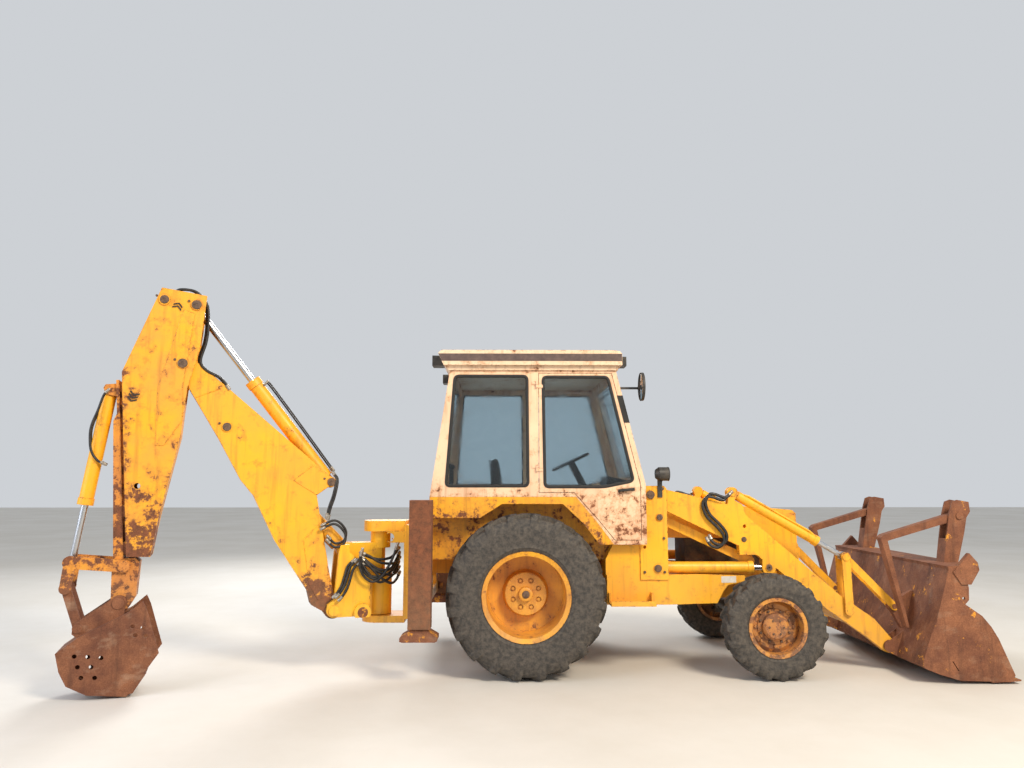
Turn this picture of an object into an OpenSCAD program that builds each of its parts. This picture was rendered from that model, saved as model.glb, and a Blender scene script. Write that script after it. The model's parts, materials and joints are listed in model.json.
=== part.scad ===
// Backhoe loader, full size, in millimetres.
// +X is forward, +Y is the machine's left and +Z is up. Heights are from the ground.
// Inside the modules, lengths along X are from the rear axle; place() moves them to the part's frame.

/* [Wheels] */
// Distance between the axles
wheelbase = 2150; // [2000:10:2300]
// Radius of a rear tyre, out to its lugs
rear_r = 705; // [650:5:760]
// Width of a rear tyre
rear_w = 430; // [380:5:480]
// Radius of a front tyre, out to its lugs
front_r = 445; // [400:5:500]
// Width of a front tyre
front_w = 275; // [240:5:300]
// Distance from the machine's middle to a tyre's outer face
tyre_out = 1050; // [1000:5:1150]

/* [Bonnet] */
// Distance from the rear axle to the front of the bonnet
nose_x = 2590; // [2540:10:2700]
// Half the bonnet's width
bonnet_y = 380; // [360:5:420]
// Thickness of the bonnet's panels
panel = 15; // [8:1:20]

/* [Cab] */
// Distance from the middle to a cab side's outer face
cab_y = 800; // [760:5:840]
// Thickness of a cab side or door
wall = 35; // [25:1:50]
// Height of the fender deck under the side windows
deck_z = 1552; // [1500:1:1600]
// Height of the underside of the roof
eave_z = 2700; // [2600:5:2800]
// Height of the top of the roof
roof_z = 2880; // [2800:5:2950]

/* [Loader] */
// Distance from the middle to an arm's inner face
arm_in = 580; // [560:5:600]
// Thickness of an arm
arm_w = 85; // [70:1:95]
// Width of the loader bucket
bucket_w = 2240; // [2100:10:2400]

/* [Backhoe] */
// Place of the kingpost across the machine
king_y = -550; // [-560:5:560]
// Swing of the backhoe towards the machine's right
swing = 20; // [0:1:60]
// Width of the digging bucket
hoe_w = 400; // [340:10:900]
// Half the boom's width
boom_y = 105; // [90:1:130]
// Half the dipper's width
dipper_y = 150; // [130:1:180]

/* [Hidden] */
$fn = 48;

// Middle of the footprint, which is the part's origin, from the rear axle and the machine's middle plane.
middle_x = 140;
middle_y = -252.5;

yellow = [0.99, 0.68, 0.05];
cream = [0.93, 0.80, 0.62];
rust = [0.42, 0.25, 0.17];
black = [0.09, 0.09, 0.09];
rubber = [0.16, 0.15, 0.14];
iron = [0.30, 0.28, 0.26];
chrome = [0.80, 0.80, 0.82];
glass = [0.45, 0.55, 0.60, 0.35];

// Pivots, as [x, z] from the rear axle and the ground.
arm_pin = [1140, 1570];
link_pin = [1219, 1367];
lift_pin = [1195, 914];
lift_eye = [2218, 913];
lever_pin = [1998, 1165];
tilt_pin = [1909, 1589];
dump_pin = [2922, 532];
tilt_eye = [2913, 1010];
bucket_pin = [3270, 225];
bucket_eye = [3342, 567];
fork_pin = [3890, 1385];
link_end = lever_pin + link_pin - arm_pin;

// Height of the roof's gutter.
gutter_z = eave_z + 42;

// Backhoe pivots, as [x, z] from the kingpost's axis, with x negative to the rear.
king_x = -1330;
boom_pin = [-430, 572];
boom_ram_pin = [-346, 1084];
boom_ram_eye = [-1374, 2156];
dipper_pin = [-1751, 2683];
dipper_ram_pin = [-475, 1684];
dipper_ram_eye = [-1665, 3196];
nose_pin = [-2107, 1009];
crowd_pin = [-2300, 2450];
crowd_eye = [-2495, 1050];
lever_end = [-2515, 850];
bucket_top = [-2410, 540];
hoe_pin = [-2130, 720];
dipper_top = [-2210, 2588];
dipper_low = [-2107, 1252];

clear = 5;
gap = 0.5;

// Towing jaw: place and radius of its upright hole.
jaw_x = nose_x + 40;
jaw_r = 17;

// Centre height of each axle.
rear_z = rear_r;
front_z = front_r;
kingpin_y = 790;

// Moves children from the rear axle to the part's frame.
module place() translate([-middle_x, -middle_y, 0]) children();

// Children and their mirror image on the other side of the machine.
module both() {
    children();
    mirror([0, 1, 0]) children();
}

// Extrudes a side view, drawn as [x, z], from y0 to y1.
module side(y0, y1) translate([0, y1, 0]) rotate([90, 0, 0]) linear_extrude(y1 - y0) children();

// A box between two corners.
module block(a, b) translate(a) cube(b - a);

// An outline, drawn clockwise, moved outwards by d.
function grow(p, d) = [for (i = [0:len(p) - 1])
    let (a = p[i] - p[(i + len(p) - 1) % len(p)], b = p[(i + 1) % len(p)] - p[i])
    let (n = [-a[1], a[0]] / norm(a), m = [-b[1], b[0]] / norm(b))
    p[i] + (n + m) * d / (1 + n * m)];

// A round pin across the machine at [x, z].
module pin(p, r, y0, y1) side(y0, y1) translate(p) circle(r);

// Turns a length along X so that it runs from p to q.
module aim(p, q) translate([p[0], 0, p[1]]) rotate([0, -atan2(q[1] - p[1], q[0] - p[0]), 0]) children();

// A round bar along X.
module bar(r, x0, x1) translate([x0, 0, 0]) rotate([0, 90, 0]) cylinder(h = x1 - x0, r = r);

// The barrel of a cylinder along X: an eye at 0 on a neck, a tube to length, and room for the rod inside.
module barrel(length, r, rod_r, eye_r, eye_w, pin_r, room) {
    difference() {
        union() {
            pin([0, 0], eye_r, -eye_w / 2, eye_w / 2);
            block([0, -eye_w / 2, -eye_r * 0.8], [eye_r + 14, eye_w / 2, eye_r * 0.8]);
            bar(r, eye_r + 10, length - r);
            bar(r * 1.12, length - r, length);
        }
        pin([0, 0], pin_r + gap, -eye_w, eye_w);
        bar(rod_r + gap, room, length + 1);
    }
}

// The rod of a cylinder along X, from start inside the barrel to an eye at reach.
module rod(start, reach, rod_r, eye_r, eye_w) {
    bar(rod_r, start, reach - eye_r * 0.7);
    pin([reach, 0], eye_r, -eye_w / 2, eye_w / 2);
}

// A flat bar between two points with round ends a little wider than it is, as a side view.
module strap(p, q, r) {
    d = q - p;
    n = [-d[1], d[0]] / norm(d) * r * 0.94;
    translate(p) circle(r);
    translate(q) circle(r);
    polygon([p + n, q + n, q - n, p - n]);
}

// Frame under the bonnet and cab: rails, cross members, side boxes and front cradle.
module chassis_frame() color(yellow) place() {
    both() {
        side(250, 330) polygon([[-880, 830], [560, 830], [740, 600], [1950, 600], [2050, 690], [nose_x - 100, 690],
            [nose_x - 100, 850], [740, 850], [600, 980], [-880, 980]]);
        // tank, cut back in side view and in plan for the steered wheel
        intersection() {
            side(330, 700) polygon([[735, 592], [1748, 592], [1806, 700], [1850, 752], [2010, 790], [2010, 840],
                [1560, 854], [735, 854]]);
            linear_extrude(900) polygon([[735, 300], [2020, 300], [2020, 625], [1700, 625], [1300, 700], [735, 700]]);
        }
        side(420, 700) polygon([[725, 854], [1040, 854], [1040, 975], [725, 975]]);
        side(580, 700) polygon([[725, 975], [1040, 975], [1040, 1120], [790, 1120], [725, 990]]);
        // step with its two hangers
        block([745, 700, 606], [1140, 900, 622]);
        block([745, 885, 622], [1140, 900, 650]);
        for (x = [745, 1125]) block([x, 700, 622], [x + 15, 760, 700]);
    }
    // cross members
    for (x = [-880, 620]) block([x, -250, 800], [x + 40, 250, 900]);
    block([nose_x - 140, -250, 690], [nose_x - 100, 250, 850]);
    // front weight with its towing jaw, and cradle for the front axle's pivot
    block([nose_x - 100, -350, 640], [nose_x - 40, 350, 840]);
    for (z = [690, 770]) difference() {
        union() {
            block([nose_x - 40, -60, z], [jaw_x, 60, z + 20]);
            translate([jaw_x, 0, z]) cylinder(h = 20, r = 60);
        }
        translate([jaw_x, 0, z - 1]) cylinder(h = 22, r = jaw_r);
    }
    difference() {
        block([2050, -250, 600], [2250, 250, 760]);
        block([2000, -130, 590], [2300, 130, 700]);
    }
}

// Towers beside the cab that carry the arms, the lift rams and the levelling links.
module loader_towers() color(yellow) place() both() {
    difference() {
        union() {
            side(690, 715) polygon([[1040, 854], [1290, 854], [1290, 1625], [1265, 1650], [1040, 1650]]);
            side(700, 715) polygon([[1040, 812], [1290, 812], [1290, 854], [1040, 854]]);
            side(515, 538) polygon([[1040, 854], [1290, 854], [1290, 1640], [1040, 1640]]);
            side(538, 690) polygon([[1040, 854], [1055, 854], [1055, 1640], [1040, 1640]]);
        }
        pin([1080, 1100], 14, 600, 800);
    }
    // arm pin, levelling link pin and lift ram pin, with their heads
    for (p = [[arm_pin, 30], [link_pin, 20], [lift_pin, 25]]) {
        pin(p[0], p[1], 538, 690);
        pin(p[0], p[1] + 12, 715, 727);
    }
    // collars that keep the link and the ram in the middle of their pins
    pin(arm_pin, 46, 538, arm_in - clear);
    pin(arm_pin, 46, arm_in + arm_w + clear, 690);
}

// Frame across the back, on which the carriage slides, with the two stabiliser tubes.
module slide_frame() color(yellow) place() {
    block([-1000, -995, 1180], [-920, 995, 1280]);
    block([-1000, -995, 500], [-920, 995, 600]);
    for (y = [-830, -330, 250, 750]) block([-985, y, 600], [-920, y + 80, 1180]);
    block([-920, -330, 830], [-880, -250, 980]);
    block([-920, 250, 830], [-880, 330, 980]);
    // tubes with wear pads at their mouths
    both() difference() {
        block([-1000, 995, 460], [-810, 1145, 1530]);
        block([-990, 1005, 540], [-820, 1135, 1520]);
        block([-985.4, 1009.6, 450], [-824.6, 1130.4, 541]);
    }
}

// Rear axle with its final drives, and front axle with its yokes and steering ram.
module axles() color(iron) place() {
    translate([0, 0, rear_z]) {
        rotate([90, 0, 0]) cylinder(h = 900, r = 95, center = true);
        rotate([90, 0, 0]) cylinder(h = 300, r = 120, center = true);
        both() {
            translate([0, 590, 0]) rotate([90, 0, 0]) cylinder(h = 190, r = 118);
            translate([0, rear_y - rear_hub - 0.4, 0]) rotate([90, 0, 0]) cylinder(h = 160, r = 95);
            block([-110, 252, 0], [110, 328, 830 - rear_z]);
        }
        translate([0, 0, -40]) rotate([0, 90, 0]) cylinder(h = 330, r = 110);
    }
    translate([wheelbase, 0, front_z]) {
        rotate([90, 0, 0]) cylinder(h = 1290, r = 62, center = true);
        rotate([90, 0, 0]) cylinder(h = 220, r = 135, center = true);
        block([-95, -90, 0], [95, 90, 700 - front_z]);
        both() difference() {
            block([-70, 640, -140], [70, 840, 140]);
            translate([0, kingpin_y, -112]) cylinder(h = 224, r = 130);
            block([-80, 700, -112], [80, 900, 112]);
        }
        // steering ram behind the beam
        translate([-150, 0, 20]) {
            rotate([90, 0, 0]) cylinder(h = 420, r = 38, center = true);
            rotate([90, 0, 0]) cylinder(h = 1300, r = 16, center = true);
        }
        both() block([-190, 150, -20], [-50, 190, 60]);
    }
}

// Engine and gearbox as one plain block.
module engine() color(iron) place() {
    block([1560, -220, 770], [nose_x - 150, 220, 1180]);
    block([780, -170, 560], [1560, 170, 850]);
    block([1560, -170, 640], [2040, 170, 770]);
    both() block([1640, 220, 770], [1720, 250, 840]);
    translate([330, 0, 665]) rotate([0, 90, 0]) cylinder(h = 450, r = 45);
}

// Half the width of the grille's opening.
grille_y = bonnet_y - 50;

// Bonnet with its open engine sides and its nose.
module bonnet() color(yellow) place() {
    difference() {
        side(-bonnet_y, bonnet_y) polygon([[1300, 1160], [nose_x - 290, 1160], [nose_x - 160, 850], [nose_x, 850],
            [nose_x, 1390], [nose_x - 36, 1420], [1300, 1505]]);
        side(panel - bonnet_y, bonnet_y - panel) polygon([[1280, 840], [nose_x - panel, 840],
            [nose_x - panel, 1383], [nose_x - 42, 1405], [1280, 1491]]);
        block([nose_x - 40, -grille_y, 880], [nose_x + 20, grille_y, 1372]);
    }
    side(-bonnet_y, bonnet_y) polygon([[1035.4, 1140], [1300, 1140], [1300, 1512], [1035.4, 1530]]);
}

// Black grille in the nose.
module grille() color(black) place() {
    difference() {
        block([nose_x - 28, -grille_y, 880], [nose_x - 10, grille_y, 1372]);
        for (i = [0:12]) block([nose_x - 40, 20 - grille_y, 900 + i * 35], [nose_x, grille_y - 20, 919 + i * 35]);
    }
    for (y = [-110, 110]) block([nose_x - 24, y - 6, 890], [nose_x - 14, y + 6, 1362]);
}

// Round head lamps on brackets outside the towers' tops.
module head_lamps() color(black) place() both() {
    translate([1184, 752, 1757]) rotate([0, 90, 0]) cylinder(h = 30, r1 = 40, r2 = 62);
    translate([1213, 752, 1757]) rotate([0, 90, 0]) cylinder(h = 84, r = 62);
    block([1207, 715.4, 1545], [1249, 727, 1700]);
    block([1207, 715.4, 1690], [1249, 752, 1704]);
}

// Side view of the door: straight rear edge, leaning front edge, lower edge that clears the wheel.
door_outline = [[125, 1592], [125, 2672], [790, 2672], [1036, 1660], [1036, 1172], [800, 1172], [655, 1350],
    [470, 1557], [440, 1592]];
door_window = [[176, 1642], [163, 2640], [757, 2640], [975, 1695], [712, 1642]];
quarter_window = [[-715, 1650], [-643, 2647], [16, 2647], [23, 1650]];

// Posts, headers, sills, front wall, rear wall and floor.
module cab_frame() color(cream) place() {
    both() difference() {
        side(cab_y - wall, cab_y) polygon([[-862, deck_z], [-690, eave_z], [832, eave_z], [1086, 1660], [1086, 1130],
            [790, 1130], [640, 1330], [455, deck_z]]);
        side(0, 900) polygon(quarter_window);
        side(0, 900) polygon(grow(door_outline, clear));
    }
    difference() {
        side(wall - cab_y, cab_y - wall) polygon([[1086, 1660], [832, eave_z], [792, eave_z], [1046, 1660]]);
        side(-700, 700) polygon([[1090, 1720], [850, 2630], [780, 2630], [1000, 1720]]);
    }
    difference() {
        side(wall - cab_y, cab_y - wall) polygon([[-862, deck_z], [-690, eave_z], [-650, eave_z], [-822, deck_z]]);
        side(-690, 690) polygon([[-870, 1640], [-700, 2620], [-620, 2620], [-780, 1640]]);
    }
    block([1005, wall - cab_y, 1655], [1086, cab_y - wall, 1700]);
    block([1005, wall - cab_y, 1130], [1035, cab_y - wall, 1655]);
    block([1005, -515, 1005], [1035, 515, 1130]);
    block([-862, -560, 1005], [-840, 560, deck_z]);
    block([-862, -560, 980], [1035, 560, 1005]);
    both() for (z = [1780, 2540]) hinge_half(z + 30);
}

// One hinge knuckle with its leaf on the centre post.
module hinge_half(z) {
    translate([105, cab_y + 12, z]) cylinder(h = 26, r = 11);
    block([60, cab_y, z], [105, cab_y + 8, z + 26]);
}

// Roof slab with its gutter.
module cab_roof() color(cream) place() {
    side(-820, 820) polygon([[-700, eave_z], [850, eave_z], [850, gutter_z], [-740, gutter_z]]);
    side(-860, 860) polygon([[-745, gutter_z], [885, gutter_z], [885, roof_z - 30], [862, roof_z - 8],
        [800, roof_z], [-765, roof_z], [-795.9, roof_z - 30]]);
}

// Fixed panes: windscreen, rear window and the two quarter windows.
module cab_glass() color(glass) place() {
    side(-700, 700) polygon([[1067, 1720], [845, 2630], [839, 2630], [1061, 1720]]);
    side(-690, 690) polygon([[-835, 1640], [-680, 2620], [-674, 2620], [-829, 1640]]);
    both() side(cab_y - 22, cab_y - 16) polygon(quarter_window);
}

// Fenders: skirt with its arch, deck and inner wall on each side.
module fenders() color(yellow) place() both() {
    side(cab_y - 20, cab_y) polygon([[-862, 1365], [-408, 1365], [-211, 1489], [337, 1488], [506, 1329], [664, 1130],
        [790, 1130], [640, 1330], [455, deck_z], [-862, deck_z]]);
    side(575, cab_y - 20) polygon([[-862, deck_z - 18], [455, deck_z - 18], [455, deck_z], [-862, deck_z]]);
    side(560, 575) polygon([[-862, 980], [700, 980], [1005, 1130], [790, 1130], [640, 1330], [455, deck_z],
        [-862, deck_z]]);
    side(575, cab_y - 20) polygon([[455, deck_z - 18], [640, 1305], [770, 1130], [790, 1130], [640, 1330],
        [455, deck_z]]);
    block([-862, 575, 1365], [-845, cab_y - 20, deck_z - 18]);
}

// Driver's seat.
module seat() color(black) place() {
    block([-230, -150, 1005], [80, 150, 1230]);
    block([-290, -235, 1230], [190, 235, 1340]);
    side(-235, 235) polygon([[-290, 1340], [-190, 1340], [-250, 1900], [-330, 1900]]);
}

// Steering column with its wheel, dash, side console and the lever banks.
module controls() color(black) place() {
    side(-60, 60) polygon([[900, 1005], [980, 1005], [509, 1893], [455, 1867]]);
    translate([480, 0, 1885]) rotate([0, -25, 0]) {
        rotate_extrude() translate([190, 0]) circle(14);
        for (a = [0, 120, 240]) rotate([0, 0, a]) translate([0, -10, -6]) cube([190, 20, 12]);
        cylinder(h = 30, r = 40, center = true);
    }
    side(-260, 260) polygon([[760, 1400], [1005, 1400], [1005, 1700], [820, 1740]]);
    block([-800, -300, 1005], [-640, 300, 1560]);
    for (y = [-220:110:220]) translate([-720, y, 1560]) {
        cylinder(h = 280, r = 8);
        translate([0, 0, 280]) sphere(24);
    }
}

// Mirrors on their stems, and work lamps at the roof's corners.
module fittings() color(black) place() {
    both() {
        side(cab_y - wall, cab_y - 20) polygon([[874, 2530], [1035, 2530], [1035, 2550], [869.1, 2550]]);
        block([1035, cab_y - wall, 2525], [1045, cab_y + 80, 2555]);
        translate([1045, cab_y + 90, 2540]) rotate([0, 90, 0]) cylinder(h = 18, r = 128);
    }
    both() {
        side(560, 720) polygon([[-860, gutter_z + 13], [-751.4, gutter_z + 13], [-796.2, gutter_z + 108], [-860, gutter_z + 108]]);
        block([885.4, 560, gutter_z + 13], [945, 720, gutter_z + 100]);
    }
}

// Door shell with its window opening, handle and hinge straps, drawn for the left side.
module door() color(cream) place() {
    difference() {
        side(cab_y - wall, cab_y) polygon(door_outline);
        side(0, 900) polygon(door_window);
    }
    block([850, cab_y, 1590], [950, cab_y + 20, 1612]);
    for (z = [1780, 2540]) {
        difference() {
            union() {
                translate([105, cab_y + 12, z]) cylinder(h = 28, r = 11);
                block([105, cab_y, z], [160, cab_y + 8, z + 28]);
            }
        }
    }
}
module door_glass() color(glass) place() side(cab_y - 22, cab_y - 16) polygon(door_window);

// Right-hand pieces are mirror images in the machine's middle plane.
module mirrored() translate([0, -2 * middle_y, 0]) mirror([0, 1, 0]) children();

module door_left() door();
module door_right() mirrored() door();
module door_glass_left() door_glass();
module door_glass_right() mirrored() door_glass();

// Steering knuckle with its hub, drawn for the left side.
module knuckle() color(iron) place() translate([wheelbase, 0, front_z]) {
    translate([0, kingpin_y, -111.6]) cylinder(h = 223.2, r = 60);
    translate([0, front_y - front_hub - 0.4, 0]) rotate([90, 0, 0]) cylinder(h = 100, r = 100);
    translate([0, 830, 0]) rotate([90, 0, 0]) cylinder(h = 50, r = 75);
    block([-190, kingpin_y - 20, -20], [0, kingpin_y + 20, 20]);
}
module knuckle_left() knuckle();
module knuckle_right() mirrored() knuckle();

// Middle planes of the rear and the front wheels.
rear_y = tyre_out - rear_w / 2;
front_y = tyre_out - front_w / 2;

// From a wheel's middle plane in to its hub's inner face.
rear_hub = 88;
front_hub = 6.5;

// A wheel about its own middle plane, with Z drawn as the machine's left.
module wheel_at(x, y, z) translate([x, y, z]) rotate([-90, 0, 0]) children();

// Rear rim: flanges, well, dished disc and hub with its bolts.
module rear_rim() color(yellow) place() wheel_at(0, rear_y, rear_z) {
    rim = rear_w / 2 - 13;
    difference() {
        rotate_extrude() polygon([[0, -rear_hub], [95, -rear_hub], [150, -100], [205, -135], [330, -129], [345, -145], [345, 14 - rim],
            [385, -rim], [385, 10 - rim], [357, 26 - rim], [357, rim - 26], [385, rim - 10], [385, rim],
            [345, rim - 14], [345, -20], [333, -110], [206, -116], [192, -96], [189, -28], [181, -17], [66, -17],
            [60, 22], [48, 27], [0, 27]]);
        // bolt wells in the hub's face
        for (i = [0:7]) rotate([0, 0, i * 45 + 22]) translate([122, 0, -34]) cylinder(h = 20, r = 24);
    }
    for (i = [0:7]) rotate([0, 0, i * 45 + 22]) translate([122, 0, -36]) cylinder(h = 14, r = 13);
}
module rim_rear_left() rear_rim();
module rim_rear_right() mirrored() rear_rim();

// Rows of points round a tyre at y. A plain row's sides touch radius r. Across n lugs, each lug gives four points:
// the carcass, the two edges of the lug's top, and the carcass again. Both are shifted by a share of a lug's pitch.
function plain_row(n, r, y, shift) = [for (i = [0:n - 1])
    let (a = 360 * (i + shift) / n, q = r / cos(180 / n)) [q * cos(a), q * sin(a), y]];
function lug_row(n, low, top, y, shift, half) = [for (i = [0:n - 1], k = [0:3])
    let (a = 360 * (i + shift) / n + [-half - lug_wall, -half, half, half + lug_wall][k])
    let (r = k % 3 == 0 ? low : top) [r * cos(a), r * sin(a), y]];

// Faces between a row of n points from number a and a row of m times as many from number b.
function strip(a, b, n, m) = [for (i = [0:n - 1]) each concat(
    [for (k = [0:m - 1]) [a + i, b + m * i + k, b + (m * i + k + 1) % (m * n)]],
    [[a + i, b + m * (i + 1) % (m * n), a + (i + 1) % n]])];
function turned(faces) = [for (f = faces) [f[0], f[2], f[1]]];

// A lugged tyre with n lugs on each side, those of the left half a pitch behind those of the right.
// bead and edge are [radius, y]; rows are [carcass, lug top, y, trail in degrees], from the side to the middle.
module lugged_tyre(n, bead, edge, rows, half) {
    trail = [for (r = rows) r[3] * n / 360];
    right = concat(plain_row(n, bead[0], -bead[1], 0.25 + trail[0]),
        plain_row(2 * n, edge[0], -edge[1], 2 * trail[0] - 0.5),
        [for (i = [0:3]) each lug_row(n, rows[i][0], rows[i][1], -rows[i][2], trail[i], half)]);
    left = concat(plain_row(n, bead[0], bead[1], 0.75 + trail[0]),
        plain_row(2 * n, edge[0], edge[1], 2 * trail[0] + 0.5),
        [for (i = [0:3]) each lug_row(n, rows[i][0], rows[i][1], rows[i][2], trail[i] + 0.5, half)]);
    size = len(right);
    sides = concat(strip(0, n, n, 2), strip(n, 3 * n, 2 * n, 2),
        [for (i = [0:2]) each strip(3 * n + 4 * n * i, 7 * n + 4 * n * i, 4 * n, 1)]);
    moved = [for (f = sides) f + [size, size, size]];
    polyhedron(concat(right, left), concat(sides, turned(moved), strip(15 * n, size + 15 * n, 4 * n, 1),
        strip(size, 0, n, 1)), convexity = 6);
}

// A lug's wall, in degrees, between its top's edge and the carcass.
lug_wall = 0.5;

module rear_tyre() color(rubber) place() wheel_at(0, rear_y, rear_z) lugged_tyre(20,
    [357.4, rear_w / 2 - 39.4], [385.4, rear_w / 2 - 23.4],
    [[rear_r - 119, rear_r - 117, rear_w / 2 - 2, -13], [rear_r - 42, rear_r - 10, rear_w / 2 - 36, -11],
    [rear_r - 36, rear_r, 24, 0], [rear_r - 36, rear_r - 35, 8, 1]], 2.3);
module tyre_rear_left() rear_tyre();
module tyre_rear_right() mirrored() rear_tyre();

// Front rim.
module front_rim() color(yellow) place() wheel_at(wheelbase, front_y, front_z) {
    rim = front_w / 2 - 11.5;
    rotate_extrude() polygon([[0, -front_hub], [135, -front_hub], [190, -12], [222, -32], [222, 4 - rim], [253, -rim], [253, 10 - rim],
        [234, 16 - rim], [234, rim - 16], [253, rim - 10], [253, rim], [222, rim - 4], [222, -2], [190, 18], [151, 20],
        [149, 30], [115, 34], [112, 66], [92, 84], [0, 86]]);
    for (i = [0:7]) rotate([0, 0, i * 45]) translate([165, 0, 19]) cylinder(h = 16, r = 13);
}
module rim_front_left() front_rim();
module rim_front_right() mirrored() front_rim();

module front_tyre() color(rubber) place() wheel_at(wheelbase, front_y, front_z) lugged_tyre(19,
    [234.4, front_w / 2 - 27.9], [253.4, front_w / 2 - 21.9],
    [[front_r - 84, front_r - 82, front_w / 2 - 2, -12], [front_r - 28, front_r - 8, front_w / 2 - 24, -10],
    [front_r - 23, front_r, 18, 0], [front_r - 23, front_r - 22, 6, 1]], 2.8);
module tyre_front_left() front_tyre();
module tyre_front_right() mirrored() front_tyre();

// Pair of cranked arms with their cross tube.
module loader_arms() color(yellow) place() {
    both() difference() {
        union() {
            side(arm_in, arm_in + arm_w) {
                translate(arm_pin) circle(76);
                polygon([[1100, 1505], [1140, 1646], [1274, 1621], [1850, 1485], [1990, 1440], [1990, 1085],
                    [1946, 1110], [1284, 1427], [1160, 1496]]);
                // front plate with the knee
                polygon([[1935, 1470], [1955, 1027], [2112, 1026], [2160, 985], [2160, 913], [2276, 913],
                    [2687, 575], [3096, 286], bucket_pin + [-36, -51], bucket_pin + [50, 38], [3150, 462], [2852, 669],
                    [2022, 1387], [1990, 1500], [1960, 1510]]);
                translate(lift_eye) circle(62);
                translate(bucket_pin) circle(62);
            }
            side(arm_in, arm_in + 16) knee_plate();
            side(arm_in + arm_w - 16, arm_in + arm_w) knee_plate();
        }
        pin(arm_pin, 30 + gap, 500, 700);
        // pocket for the lift rod's eye
        side(arm_in + 12, arm_in + arm_w - 12) {
            translate(lift_eye) circle(105);
            polygon([[1900, 780], [2218, 780], [2260, 1010], [2110, 1040], [1900, 1060]]);
        }
        pin(bucket_pin, 28 + gap, 500, 700);
        pin([2007, 1283], 16, 500, 700);
        // room for the tilt ram beside its foot
        translate([0, 622, 0]) aim(tilt_pin, tilt_eye) block([50, -50, -52], [420, 50, 60]);
    }
    // pins that end at the pocket's walls, knee pin, dump lever pin and ram pin
    both() {
        pin(lever_pin, 18, 518, arm_in);
        pin(dump_pin, 24, 545, 700);
        pin(tilt_pin, 22, arm_in + 16, arm_in + arm_w - 16);
        pin(lift_eye, 34, arm_in + arm_w, arm_in + arm_w + 6);
        pin(tilt_pin, 34, arm_in + arm_w, arm_in + arm_w + 10);
    }
    translate([3060, 0, 418]) rotate([90, 0, 0]) cylinder(h = 2 * arm_in, r = 60, center = true);
}
module knee_plate() {
    polygon([[1860, 1480], [1880, 1620], [1945, 1625], [2022, 1387], [1960, 1400]]);
    translate(tilt_pin) circle(48);
}

// Barrels of the two lift rams.
module lift_barrels() color(yellow) place() both() translate([0, 622, 0]) aim(lift_pin, lift_eye)
    barrel(885, 50, 26, 48, 60, 25, 66);

// Rods of the two lift rams.
module lift_rods() color(chrome) place() both() translate([0, 622, 0]) aim(lift_pin, lift_eye)
    rod(140, norm(lift_eye - lift_pin), 26, 42, 36);

// Levelling links between the towers and the knee levers.
module level_links() color(yellow) place() both() difference() {
    side(545, 561) strap(link_pin, link_end, 44);
    pin(link_pin, 20 + gap, 500, 600);
    pin(link_end, 18 + gap, 500, 600);
}

// Knee levers on the arms' inner sides.
module knee_levers() color(yellow) place() both() {
    difference() {
        side(520, 542) strap(lever_pin, link_end, 46);
        pin(lever_pin, 18 + gap, 500, 600);
    }
    pin(link_end, 18, 542, 561);
}

// Barrels of the two tilt rams.
module tilt_barrels() color(yellow) place() both() translate([0, 622, 0]) aim(tilt_pin, tilt_eye)
    barrel(895, 44, 24, 44, 44, 22, 68);

// Rods of the two tilt rams.
module tilt_rods() color(chrome) place() both() translate([0, 622, 0]) aim(tilt_pin, tilt_eye)
    rod(320, norm(tilt_eye - tilt_pin), 24, 40, 48);

// Dump levers: an inner and an outer plate on each arm.
module dump_levers() color(yellow) place() both() {
    for (y = [546, 678]) difference() {
        side(y, y + 20) strap(dump_pin, tilt_eye, 40);
        pin(dump_pin, 24 + gap, 500, 700);
    }
    pin(tilt_eye, 34, 698, 708);
}

// Dump links: two plates on each side, from the levers to the bucket.
module dump_links() color(yellow) place() both() for (y = [574, 658]) difference() {
    side(y, y + 14) strap(tilt_eye, bucket_eye, 34);
    pin(bucket_eye, 22 + gap, 500, 700);
}

// Side view of the bucket's outer skin, from the cutting edge round the heel to the top lip, and of the side plate's
// front edge back to the cutting edge.
bucket_skin = [[4060, 20], [3643, 30], [3469, 80], [3352, 126], [3331, 150], [3334, 190], [3395, 355], [3462, 500],
    [3531, 715], [3601, 941]];
bucket_front = [[3735, 950], [3763, 790], [3757, 690], [3723, 654], [3859, 559], [3930, 470], [3986, 371], [4104, 74],
    [4090, 40]];

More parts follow.
